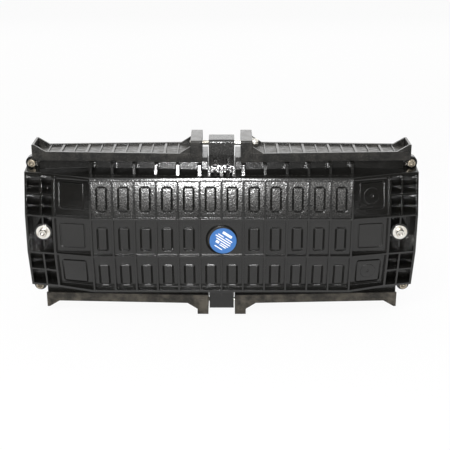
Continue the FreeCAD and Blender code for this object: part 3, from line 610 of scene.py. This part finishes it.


# The cover and rib plastics both carry the painted sparkle specks on the upper row and the upper block.
COVER_PLASTIC = GrainedCover("cover_plastic_grained", (0.0055, 0.0055, 0.0052), (0.012, 0.0115, 0.0102))
RIB_PLASTIC = replace(COVER_PLASTIC, name="rib_plastic_grained", roughness=0.11, grain_depth=0.05 * MM,
                      flange_lean=0.0)
UPPER_RAIL_PLASTIC = MottledPlastic("upper_rail_plastic", (0.004, 0.004, 0.0036), (0.017, 0.0155, 0.013),
                                    (0.075, 0.07, 0.062))
LOWER_RAIL_PLASTIC = replace(UPPER_RAIL_PLASTIC, name="lower_rail_plastic", dark=(0.016, 0.0145, 0.0115),
                             pale=(0.075, 0.066, 0.052), blotch_size=16 * MM)
TRAY_PLASTIC = MouldedPlastic("tray_plastic_pale", (0.62, 0.62, 0.6), (0.72, 0.72, 0.7), roughness=0.45)
KNOB_PLASTIC = MouldedPlastic("knob_plastic_black", (0.015, 0.015, 0.015), (0.04, 0.04, 0.04))
STEEL = ZincSteel("zinc_steel")
WORN_STEEL = ZincSteel("worn_steel", (0.42, 0.37, 0.29), (0.16, 0.125, 0.08), roughness=0.2)
# Dark brown film on the sockets' walls: partly oil, partly painted shade for the shadowed hollow.
SOCKET_OIL_AND_SHADE = MouldedPlastic("socket_oil_and_painted_shade", (0.008, 0.005, 0.002), (0.05, 0.03, 0.012), roughness=0.35,
                            cloud_size=2 * MM)
LABEL_BLUE = PrintedFilm("label_blue", (0.02, 0.105, 0.315), (0.03, 0.135, 0.37))
LABEL_WHITE = PrintedFilm("label_white", (0.86, 0.86, 0.86), (0.78, 0.79, 0.8))
RUBBER = Rubber("black_rubber")
ALUMINIUM = RolledAluminium("rolled_aluminium")
CLEAR = ClearSheet("clear_sheet")
FLOOR_WHITE = PaleFloor("pale_floor")
SCREEN_CLOTH = MattCloth("screen_cloth")


class Edge(Enum):
    """How far a piece's edges are rounded, in metres."""

    SHARP = 0.0
    FINE = 0.25 * MM
    MOULDED = 0.35 * MM


WELD_REACH = 0.01 * MM
ROUNDING_STEPS = 2
ROUNDING_ANGLE = math.radians(32)
FLAT_WEIGHT = 100
SMOOTH_ANGLE = math.radians(35)
SEGMENTS = 72


def dress(node: str, finish: Finish, edge: Edge) -> None:
    """Give a solid its finish and round its edges.

    Args:
        node: The solid's name.
        finish: Its finish.
        edge: How far its edges are rounded.
    """
    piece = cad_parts[node]
    piece.material_slots[0].material = finish.material()
    if edge is not Edge.SHARP:
        weld = piece.modifiers.new("weld", "WELD")
        weld.merge_threshold = WELD_REACH
        rounding = piece.modifiers.new("rounding", "BEVEL")
        rounding.width = edge.value
        rounding.segments = ROUNDING_STEPS
        rounding.use_clamp_overlap = False
        rounding.limit_method = "ANGLE"
        rounding.angle_limit = ROUNDING_ANGLE
        flat_first = piece.modifiers.new("flat_first", "WEIGHTED_NORMAL")
        flat_first.mode = "FACE_AREA"
        flat_first.weight = FLAT_WEIGHT
    LOG.info("dressed %s in %s", node, finish.name)


class MeshBuilder:
    """Points and faces of one piece, gathered and then made into an object."""

    def __init__(self) -> None:
        """Start with nothing."""
        self.points: list[Vector] = []
        self.faces: list[list[int]] = []

    def loft(self, rows: Sequence[Sequence[Vector]], closed: bool = False) -> None:
        """Skin a run of rings that have the same count of points.

        Args:
            rows: The rings, in order.
            closed: Whether the last ring joins the first; otherwise both ends get a cap.
        """
        start, count = len(self.points), len(rows[0])
        for row in rows:
            self.points.extend(row)
        last = len(rows) if closed else len(rows) - 1
        for level in range(last):
            low = start + level * count
            high = start + (level + 1) % len(rows) * count
            for index in range(count):
                following = (index + 1) % count
                self.faces.append([low + index, low + following, high + following, high + index])
        if not closed:
            self.faces.append([start + index for index in reversed(range(count))])
            self.faces.append([start + last * count + index for index in range(count)])

    def build(self, name: str, body: str, slot: str, finish: Finish) -> bpy.types.Object:
        """Make the object, with outward normals, riding on a body.

        Args:
            name: The piece's name.
            body: The body that it moves with.
            slot: The record's material slot; not used.
            finish: Its finish.

        Returns:
            The new object.
        """
        mesh = bpy.data.meshes.new(name)
        mesh.from_pydata(self.points, [], self.faces)
        shaped = bmesh.new()
        shaped.from_mesh(mesh)
        bmesh.ops.recalc_face_normals(shaped, faces=shaped.faces)
        shaped.to_mesh(mesh)
        shaped.free()
        mesh.materials.append(finish.material())
        mesh.shade_smooth()
        mesh.set_sharp_from_angle(angle=SMOOTH_ANGLE)
        piece = bpy.data.objects.new(name, mesh)
        bpy.context.scene.collection.objects.link(piece)
        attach(piece, body)
        LOG.info("made %s on %s", name, body)
        return piece


def ring(height: float, radius: Radius, place: Matrix) -> list[Vector]:
    """A ring of points about a piece's own Z axis.

    Args:
        height: Where it lies along that axis.
        radius: Its radius at each angle.
        place: Takes the piece's own axes to the part's frame.

    Returns:
        The ring's points.
    """
    points = []
    for index in range(SEGMENTS):
        angle = FULL_TURN * index / SEGMENTS
        reach = radius(angle)
        points.append(place @ Vector((reach * math.cos(angle), reach * math.sin(angle), height)))
    return points


def round_at(radius: float) -> Radius:
    """A circle's radius at any angle."""
    return lambda angle: radius


def hexagon_at(across: float) -> Radius:
    """A hexagon's radius at an angle, from its width across flats."""
    sixth = FULL_TURN / 6
    return lambda angle: across / 2 / math.cos((angle + sixth / 2) % sixth - sixth / 2)


@dataclass
class CapScrew:
    """A socket head screw: knurled head above z = 0, shank with a cut thread below it."""

    length: float
    thread: float
    shank: float = 3 * MM
    head: float = 5 * MM
    head_height: float = 6 * MM
    socket_across: float = 5 * MM
    socket_deep: float = 3 * MM
    head_chamfer: float = 0.5 * MM
    # Inset of the socket's film of oil and painted shade.
    film: float = 0.35 * MM
    knurl: float = 0.14 * MM
    pitch: float = 1 * MM
    thread_depth: float = 0.55 * MM
    flank_slope: float = 1.25
    steps_per_pitch: int = 8

    def add(self, builder: MeshBuilder, place: Matrix) -> None:
        """Add the screw's rings to a piece.

        Args:
            builder: The piece.
            place: Where the underside of the head lies, with Z out of the head.
        """
        top = self.head_height
        fine = self.head_chamfer / 2
        socket = hexagon_at(self.socket_across)
        knurled = self._knurled()
        profile: list[tuple[float, Radius]] = [
            (top - self.socket_deep, socket),
            (top - fine, socket),
            (top, lambda angle: socket(angle) + fine),
            (top, round_at(self.head - 2 * self.head_chamfer)),
            (top - fine / 2, round_at(self.head - self.head_chamfer)),
            (top - 2 * self.head_chamfer, knurled),
            (self.head_chamfer, knurled),
            (0.0, round_at(self.head - self.head_chamfer)),
            (0.0, round_at(self.shank + fine)),
            (-fine, round_at(self.shank)),
        ]
        rows = [ring(height, radius, place) for height, radius in profile]
        builder.loft(rows + self._thread_rows(place))

    def add_shade_film(self, builder: MeshBuilder, place: Matrix) -> None:
        """Add the film of brown oil and painted shade that darkens the socket's walls.

        Args:
            builder: The piece.
            place: Where the underside of the head lies, with Z out of the head.
        """
        low = self.head_height - self.socket_deep + self.film
        high = self.head_height - self.head_chamfer
        outer = hexagon_at(self.socket_across - self.film / 4)
        inner = hexagon_at(self.socket_across - 2 * self.film)
        corners = ((low, outer), (high, outer), (high, inner), (low, inner))
        builder.loft([ring(height, radius, place) for height, radius in corners], closed=True)

    def _knurled(self) -> Radius:
        """The head's knurled radius at an angle."""
        ridges = SEGMENTS // 2
        return lambda angle: self.head - self.knurl * (0.5 - 0.5 * math.cos(ridges * angle))

    def _thread_rows(self, place: Matrix) -> list[list[Vector]]:
        """Rings down the threaded end, each point at the thread's depth there.

        Args:
            place: Where the underside of the head lies, with Z out of the head.

        Returns:
            The rings, from the thread's start to the screw's end.
        """
        step = self.pitch / self.steps_per_pitch
        start = self.length - self.thread
        rows = [ring(-start, round_at(self.shank), place)]
        count = int((self.thread - self.pitch) / step)
        for index in range(1, count + 1):
            depth = index * step
            rows.append(ring(-start - depth, self._thread_radius(depth), place))
        rows.append(ring(-self.length, round_at(self.shank - self.thread_depth), place))
        return rows

    def _thread_radius(self, depth: float) -> Radius:
        """The thread's radius at an angle; the groove runs out over the first pitch.

        Args:
            depth: How far down the thread.

        Returns:
            The radius at each angle.
        """
        deepest = self.thread_depth * min(1.0, depth / self.pitch)

        def radius(angle: float) -> float:
            """The radius at one angle."""
            phase = (depth / self.pitch + angle / FULL_TURN) % 1.0
            return self.shank - deepest * max(0.0, 1.0 - abs(2 * phase - 1) * self.flank_slope)
        return radius


@dataclass
class HexNut:
    """A hexagon nut from z = 0 upwards, with its corners chamfered on both faces."""

    across: float = 10 * MM
    height: float = 5 * MM
    bore: float = 3.05 * MM
    bore_chamfer: float = 0.4 * MM
    face_share: float = 0.95
    chamfer_angle: float = math.radians(30)
    steps: int = 3

    def add(self, builder: MeshBuilder, place: Matrix) -> None:
        """Add the nut's rings to a piece.

        Args:
            builder: The piece.
            place: Where the nut's lower face lies, with Z through it.
        """
        chamfer = self._chamfer()
        heights = [chamfer * index / self.steps for index in range(self.steps + 1)]
        outside = [(height, self._outside(height)) for height in heights]
        outside += [(self.height - height, radius) for height, radius in reversed(outside)]
        mouth = round_at(self.bore + self.bore_chamfer)
        bore = round_at(self.bore)
        inside = [(self.height, mouth), (self.height - self.bore_chamfer, bore),
                  (self.bore_chamfer, bore), (0.0, mouth)]
        builder.loft([ring(height, radius, place) for height, radius in outside + inside], closed=True)

    def _chamfer(self) -> float:
        """How far down the corners the chamfer reaches."""
        reach = self.across / math.sqrt(3) - self.face_share * self.across / 2
        return reach * math.tan(self.chamfer_angle)

    def _outside(self, height: float) -> Radius:
        """The outer radius at an angle.

        Args:
            height: The distance from the nearer face.

        Returns:
            The radius at each angle.
        """
        cone = self.face_share * self.across / 2 + height / math.tan(self.chamfer_angle)
        flats = hexagon_at(self.across)
        return lambda angle: min(cone, flats(angle))


class Heading(Enum):
    """Where a threaded piece's own Z axis points."""

    RIGHT = (1.0, 0.0, 0.0)
    FORWARD = (0.0, -1.0, 0.0)
    BACKWARD = (0.0, 1.0, 0.0)

    def at(self, spot: Triple) -> Matrix:
        """The place at a spot with Z along this heading."""
        turn = Vector((0.0, 0.0, 1.0)).rotation_difference(Vector(self.value))
        return Matrix.Translation(spot) @ turn.to_matrix().to_4x4()


class FootShape(Enum):
    """Outlines of the webs in the upper anchor block's foot, as depths and levels in millimetres."""

    RIB = ((26.0, 75.6), (43.3, 75.6), (40.4, 87.8), (14.5, 94.2))
    BAR = ((26.0, 79.3), (39.0, 79.3), (37.0, 87.8), (14.5, 94.2))
    TIE = ((32.0, 82.0), (38.36, 82.0), (37.6, 85.2))


@dataclass(frozen=True)
class FootWeb:
    """A web of the upper anchor block's foot, with its span along X in millimetres."""

    span: Span
    shape: FootShape

    def rows(self) -> list[list[Vector]]:
        """The web's outline at both its ends."""
        return [[Vector((x * MM, -depth * MM, MIDDLE_HEIGHT + level * MM))
                 for depth, level in self.shape.value]
                for x in self.span]


@dataclass
class Covers:
    """The two ribbed covers, the seal between them and the plugs in their ports.

    Depths run out from the joint plane.
    """

    halves: tuple[str, ...] = ("front_cover", "rear_cover")
    seals: tuple[str, ...] = ("seal_cord", "left_port_plugs", "right_port_plugs")
    columns: int = 6
    column_pitch: float = 26.5 * MM
    rib_width: float = 3.2 * MM
    rib_levels: Span = (75.6 * MM, 87.8 * MM)
    rib_fronts: Span = (41.2 * MM, 37.5 * MM)
    rib_back: float = 26.0 * MM
    rib_draft: float = 1.3 * MM
    wedge_fall: float = 9.5 / 207
    foot: tuple[FootWeb, ...] = (
        FootWeb((-15.6, -13.6), FootShape.RIB),
        FootWeb((-12.6, -9.9), FootShape.BAR),
        FootWeb((-9.9, -5.4), FootShape.TIE),
        FootWeb((-5.4, -2.7), FootShape.BAR),
        FootWeb((-1.7, 1.7), FootShape.RIB),
        FootWeb((2.7, 5.4), FootShape.BAR),
        FootWeb((5.4, 9.9), FootShape.TIE),
        FootWeb((9.9, 12.6), FootShape.BAR),
        FootWeb((13.6, 15.6), FootShape.RIB),
    )

    def build(self) -> None:
        """Bring forward the ribs under the upper wedge flanges and the foot of the upper anchor block."""
        builder = MeshBuilder()
        for side_x in (-1, 1):
            for side_y in (-1, 1):
                for column in range(1, self.columns + 1):
                    builder.loft(self._rib_rows(column, side_x, side_y))
        for web in self.foot:
            builder.loft(web.rows())
        builder.build("flange_ribs", "housing", "cover_plastic", RIB_PLASTIC)

    def _rib_rows(self, column: int, side_x: int, side_y: int) -> list[list[Vector]]:
        """A rib's outline on its inner side and on its outer side.

        Args:
            column: Its column line, counted from the middle.
            side_x: 1 on the right, -1 on the left.
            side_y: 1 on the rear cover, -1 on the front one.

        Returns:
            The two outlines.
        """
        middle = column * self.column_pitch
        fall = self.wedge_fall * (middle - self.column_pitch)
        low, high = self.rib_levels
        thin = self.rib_width / 2
        thick = thin + self.rib_draft
        outline = [(self.rib_back, low, thick), (self.rib_fronts[0], low, thin),
                   (self.rib_fronts[1], high, thin), (self.rib_back, high, thick)]
        return [[Vector((side_x * (middle + side * half), side_y * (depth - fall), MIDDLE_HEIGHT + level))
                 for depth, level, half in outline]
                for side in (-1, 1)]

    def dress(self) -> None:
        """Give covers, seal and plugs their finishes."""
        for node in self.halves:
            dress(node, COVER_PLASTIC, Edge.MOULDED)
        for node in self.seals:
            dress(node, RUBBER, Edge.FINE)


@dataclass
class Rails:
    """The four wedge rails."""

    sides: tuple[str, ...] = ("left", "right")
    finishes: tuple[tuple[str, Finish], ...] = (("upper", UPPER_RAIL_PLASTIC), ("lower", LOWER_RAIL_PLASTIC))

    def dress(self) -> None:
        """Give the upper and the lower rails their finishes."""
        for level, finish in self.finishes:
            for side in self.sides:
                dress(f"{level}_{side}_rail", finish, Edge.MOULDED)


@dataclass
class Fasteners:
    """Screws, nuts and washers."""

    tension_thread: float = 32 * MM
    short_thread: float = 12 * MM
    washers: tuple[str, ...] = ("upper_tension_washer", "lower_tension_washer", "end_washers")

    def build(self) -> None:
        """Model the screws and nuts in detail in the places of their solids."""
        self._tension_screws()
        self._front_screws("end_bolts", "end_bolt_socket_shade", "end_nuts", 1, STEEL)
        self._front_screws("corner_screws", "corner_screw_socket_shade", "corner_nuts", 2, WORN_STEEL)

    def dress(self) -> None:
        """Give the washers their finish."""
        for node in self.washers:
            dress(node, STEEL, Edge.FINE)

    def _tension_screws(self) -> None:
        """The long screws along X and the nuts in the left lugs."""
        for level in ("upper", "lower"):
            low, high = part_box(f"{level}_tension_screw")
            middle = (low + high) / 2
            screw = CapScrew(high.x - low.x - CapScrew.head_height, self.tension_thread)
            head = Heading.RIGHT.at((high.x - screw.head_height, middle.y, middle.z))
            self._make(f"{level}_tension_screw", f"{level}_screw", [(screw, head)])
            seat = Heading.RIGHT.at((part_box(f"{level}_tension_nut")[0].x, middle.y, middle.z))
            self._make(f"{level}_tension_nut", f"{level}_left", [(HexNut(), seat)])

    def _front_screws(self, screws: str, sockets: str, nuts: str, rows: int, finish: Finish) -> None:
        """Make the screws that go in from the front, the film of oil and painted shade in their sockets and
        their nuts behind.

        Args:
            screws: The screws' solid.
            sockets: The name of the film of oil and painted shade.
            nuts: The nuts' solid.
            rows: How many screws stand above each other at each end, 1 or 2.
            finish: The screws' finish.
        """
        low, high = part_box(screws)
        screw = CapScrew(high.y - low.y - CapScrew.head_height, self.short_thread)
        heights = [(low.z + high.z) / 2] if rows == 1 else [low.z + screw.head, high.z - screw.head]
        spots = [(x, z) for x in (low.x + screw.head, high.x - screw.head) for z in heights]
        front = low.y + screw.head_height
        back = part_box(nuts)[0].y
        places = [Heading.FORWARD.at((x, front, z)) for x, z in spots]
        self._make(screws, "housing", [(screw, place) for place in places], finish)
        # A film of oil and painted shade darkens each socket's walls.
        film = MeshBuilder()
        for place in places:
            screw.add_shade_film(film, place)
        film.build(sockets, "housing", "steel", SOCKET_OIL_AND_SHADE)
        self._make(nuts, "housing", [(HexNut(), Heading.BACKWARD.at((x, back, z))) for x, z in spots])

    @staticmethod
    def _make(node: str, body: str, parts: Sequence[tuple[Union[CapScrew, HexNut], Matrix]],
              finish: Finish = STEEL) -> None:
        """Make one piece of some screws or nuts, in the place of a solid.

        Args:
            node: The solid that the piece stands for.
            body: The body that it moves with.
            parts: The screws or nuts, each with its place.
            finish: Their finish.
        """
        builder = MeshBuilder()
        for part, place in parts:
            part.add(builder, place)
        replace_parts(builder.build(f"{node}_detail", body, "steel", finish), node)


@dataclass(frozen=True)
class PrintBar:
    """A printed bar on the label, in millimetres along and across the print's lines."""

    along: float
    across: float
    length: float
    width: float


@dataclass
class LabelPlate:
    """The round label with a plain print of bars."""

    slant: float = math.radians(-34)
    thick: float = 0.04 * MM
    bars: tuple[PrintBar, ...] = (
        PrintBar(0.0, 9.4, 13.0, 3.2),
        PrintBar(-6.0, 4.6, 8.0, 1.1),
        PrintBar(5.5, 4.6, 10.0, 1.1),
        PrintBar(-1.0, 1.8, 22.0, 1.1),
        PrintBar(1.0, -1.0, 20.0, 1.1),
        PrintBar(-5.0, -4.6, 4.4, 3.0),
        PrintBar(4.4, -3.9, 11.0, 1.1),
        PrintBar(3.6, -6.3, 9.0, 1.1),
        PrintBar(0.0, -10.4, 11.0, 1.1),
    )

    def build(self) -> None:
        """Lay the print on the disc's face."""
        low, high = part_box("label_disc")
        middle = Vector(((low.x + high.x) / 2, low.y, (low.z + high.z) / 2))
        builder = MeshBuilder()
        for bar in self.bars:
            builder.loft(self._bar_rows(bar, middle))
        builder.build("label_print", "housing", "label", LABEL_WHITE)

    def dress(self) -> None:
        """Give the disc its blue film."""
        dress("label_disc", LABEL_BLUE, Edge.SHARP)

    def _bar_rows(self, bar: PrintBar, middle: Vector) -> list[list[Vector]]:
        """A bar's outline on the disc's face, and again at the print's thickness.

        Args:
            bar: The bar.
            middle: The middle of the disc's face.

        Returns:
            The two outlines.
        """
        cosine, sine = math.cos(self.slant), math.sin(self.slant)
        rows = []
        for lift in (0.0, self.thick):
            row = []
            for side_x, side_z in ((-1, -1), (1, -1), (1, 1), (-1, 1)):
                along = (bar.along + side_x * bar.length / 2) * MM
                across = (bar.across + side_z * bar.width / 2) * MM
                row.append(middle + Vector((along * cosine - across * sine, -lift,
                                            along * sine + across * cosine)))
            rows.append(row)
        return rows


@dataclass
class SpliceCarrier:
    """Everything inside: frame, trays, combs, lid, studs, knobs, clamps and their screws."""

    sheets: tuple[str, ...] = ("tray_frame", "left_cable_clamps", "right_cable_clamps")
    trays: tuple[str, ...] = ("lower_splice_tray", "upper_splice_tray")
    combs: tuple[str, ...] = ("lower_splice_comb", "upper_splice_comb")
    studs: tuple[str, ...] = ("tray_studs", "clamp_screws", "frame_screws")
    knobs: tuple[str, ...] = ("tray_knobs",)
    lid: str = "tray_lid"

    def dress(self) -> None:
        """Give each inner piece its finish."""
        for nodes, finish in ((self.sheets, ALUMINIUM), (self.trays, TRAY_PLASTIC), (self.combs, RUBBER),
                              (self.studs, STEEL), (self.knobs, KNOB_PLASTIC)):
            for node in nodes:
                dress(node, finish, Edge.FINE)
        dress(self.lid, CLEAR, Edge.SHARP)


@dataclass
class SoftBox:
    """A rectangular studio lamp that the eye doesn't see."""

    name: str
    spot: Triple
    target: Triple
    width: float
    height: float
    watts: float

    def build(self) -> None:
        """Place the lamp and turn it to its target."""
        lamp = bpy.data.lights.new(self.name, "AREA")
        lamp.shape = "RECTANGLE"
        lamp.size = self.width
        lamp.size_y = self.height
        lamp.energy = self.watts
        stand = bpy.data.objects.new(self.name, lamp)
        stand.location = self.spot
        stand.rotation_euler = (Vector(self.target) - Vector(self.spot)).to_track_quat("-Z", "Y").to_euler()
        stand.visible_camera = False
        bpy.context.scene.collection.objects.link(stand)
        LOG.info("set lamp %s", self.name)


@dataclass
class Studio:
    """Floor, screen, world, lamps and the camera at the photograph's angle."""

    floor_half: float = 8.0
    world_fill: float = 0.55
    camera_target: Triple = (0.0043, -0.0075, 0.1155)
    camera_elevation: float = math.radians(20.3)
    camera_distance: float = 1.25
    sensor: float = 36.0
    frame_pixels: float = 450.0
    focal_pixels: float = 987.0
    screen_radius: float = 2.4
    screen_height: float = 1.6
    screen_sweep: float = math.radians(105)
    screen_panels: int = 24
    lamps: tuple[SoftBox, ...] = (
        SoftBox("key_lamp", (-0.4, -1.5, 1.9), (0.0, 0.0, 0.1), 1.5, 1.0, 24.0),
        SoftBox("flash_lamp", (-0.066, -1.3, 0.515), (-0.03, -0.05, 0.19), 0.16, 0.1, 14.0),
        SoftBox("strip_lamp", (-0.05, -1.3, 0.36), (-0.03, -0.05, 0.17), 1.1, 0.3, 1.5),
        SoftBox("back_lamp", (0.0, 2.2, 1.0), (0.0, 0.0, 0.2), 3.0, 1.2, 11.0),
    )

    def build(self) -> None:
        """Set up everything round the object."""
        scene = bpy.context.scene
        scene.view_settings.view_transform = "Standard"
        self._floor()
        self._screen()
        self._world(scene)
        for lamp in self.lamps:
            lamp.build()
        self._camera(scene)

    @staticmethod
    def _stage(name: str, points: Sequence[Triple], faces: Sequence[Sequence[int]],
               finish: Finish) -> bpy.types.Object:
        """Make a piece of the studio that isn't part of the object.

        Args:
            name: The piece's name.
            points: Its points.
            faces: Its faces, by the points' numbers.
            finish: Its finish.

        Returns:
            The new object.
        """
        mesh = bpy.data.meshes.new(name)
        mesh.from_pydata(points, [], faces)
        mesh.materials.append(finish.material())
        piece = bpy.data.objects.new(name, mesh)
        bpy.context.scene.collection.objects.link(piece)
        LOG.info("set %s", name)
        return piece

    def _floor(self) -> None:
        """A wide pale floor under the lugs."""
        half = self.floor_half
        corners = [(-half, -half, 0.0), (half, -half, 0.0), (half, half, 0.0), (-half, half, 0.0)]
        self._stage("floor", corners, [(0, 1, 2, 3)], FLOOR_WHITE)

    def _screen(self) -> None:
        """A dark curved screen round the front, unseen by the eye, so that the front's gloss stays deep."""
        points = []
        for panel in range(self.screen_panels + 1):
            angle = self.screen_sweep * (2 * panel / self.screen_panels - 1)
            across = self.screen_radius * math.sin(angle)
            depth = -self.screen_radius * math.cos(angle)
            points += [(across, depth, 0.0), (across, depth, self.screen_height)]
        starts = range(0, 2 * self.screen_panels, 2)
        faces = [(start, start + 2, start + 3, start + 1) for start in starts]
        screen = self._stage("front_screen", points, faces, SCREEN_CLOTH)
        screen.visible_camera = False

    def _world(self, scene: bpy.types.Scene) -> None:
        """White to the eye and in gloss, and a gentler fill for the rest.

        Args:
            scene: The scene that gets the world.
        """
        scene.world = bpy.data.worlds.new("studio")
        tree = ShaderTree(scene.world)
        strength = self.world_fill + tree.seen_directly() * (1.0 - self.world_fill)
        tree.close(tree.node("ShaderNodeBackground", None, {"Color": WHITE, "Strength": strength}),
                   "ShaderNodeOutputWorld")

    def _camera(self, scene: bpy.types.Scene) -> None:
        """A camera in front of the closure, looking down on it a little.

        Args:
            scene: The scene that gets the camera.
        """
        lens = bpy.data.cameras.new("camera")
        lens.sensor_width = self.sensor
        lens.lens = self.sensor * self.focal_pixels / self.frame_pixels
        lens.clip_end = 4 * self.floor_half
        back = Vector((0.0, -math.cos(self.camera_elevation), math.sin(self.camera_elevation)))
        camera = bpy.data.objects.new("camera", lens)
        camera.location = Vector(self.camera_target) + back * self.camera_distance
        camera.rotation_euler = (-back).to_track_quat("-Z", "Y").to_euler()
        scene.collection.objects.link(camera)
        scene.camera = camera
        LOG.info("set camera at %s", tuple(round(part, 4) for part in camera.location))


def main() -> None:
    """Build and dress each sub-assembly, then the studio round it."""
    logging.basicConfig(level=logging.INFO, format="%(message)s")
    covers, fasteners, label = Covers(), Fasteners(), LabelPlate()
    for assembly in (covers, fasteners, label):
        assembly.build()
    for assembly in (covers, Rails(), fasteners, label, SpliceCarrier()):
        assembly.dress()
    Studio().build()


if __name__ == "__main__":
    main()
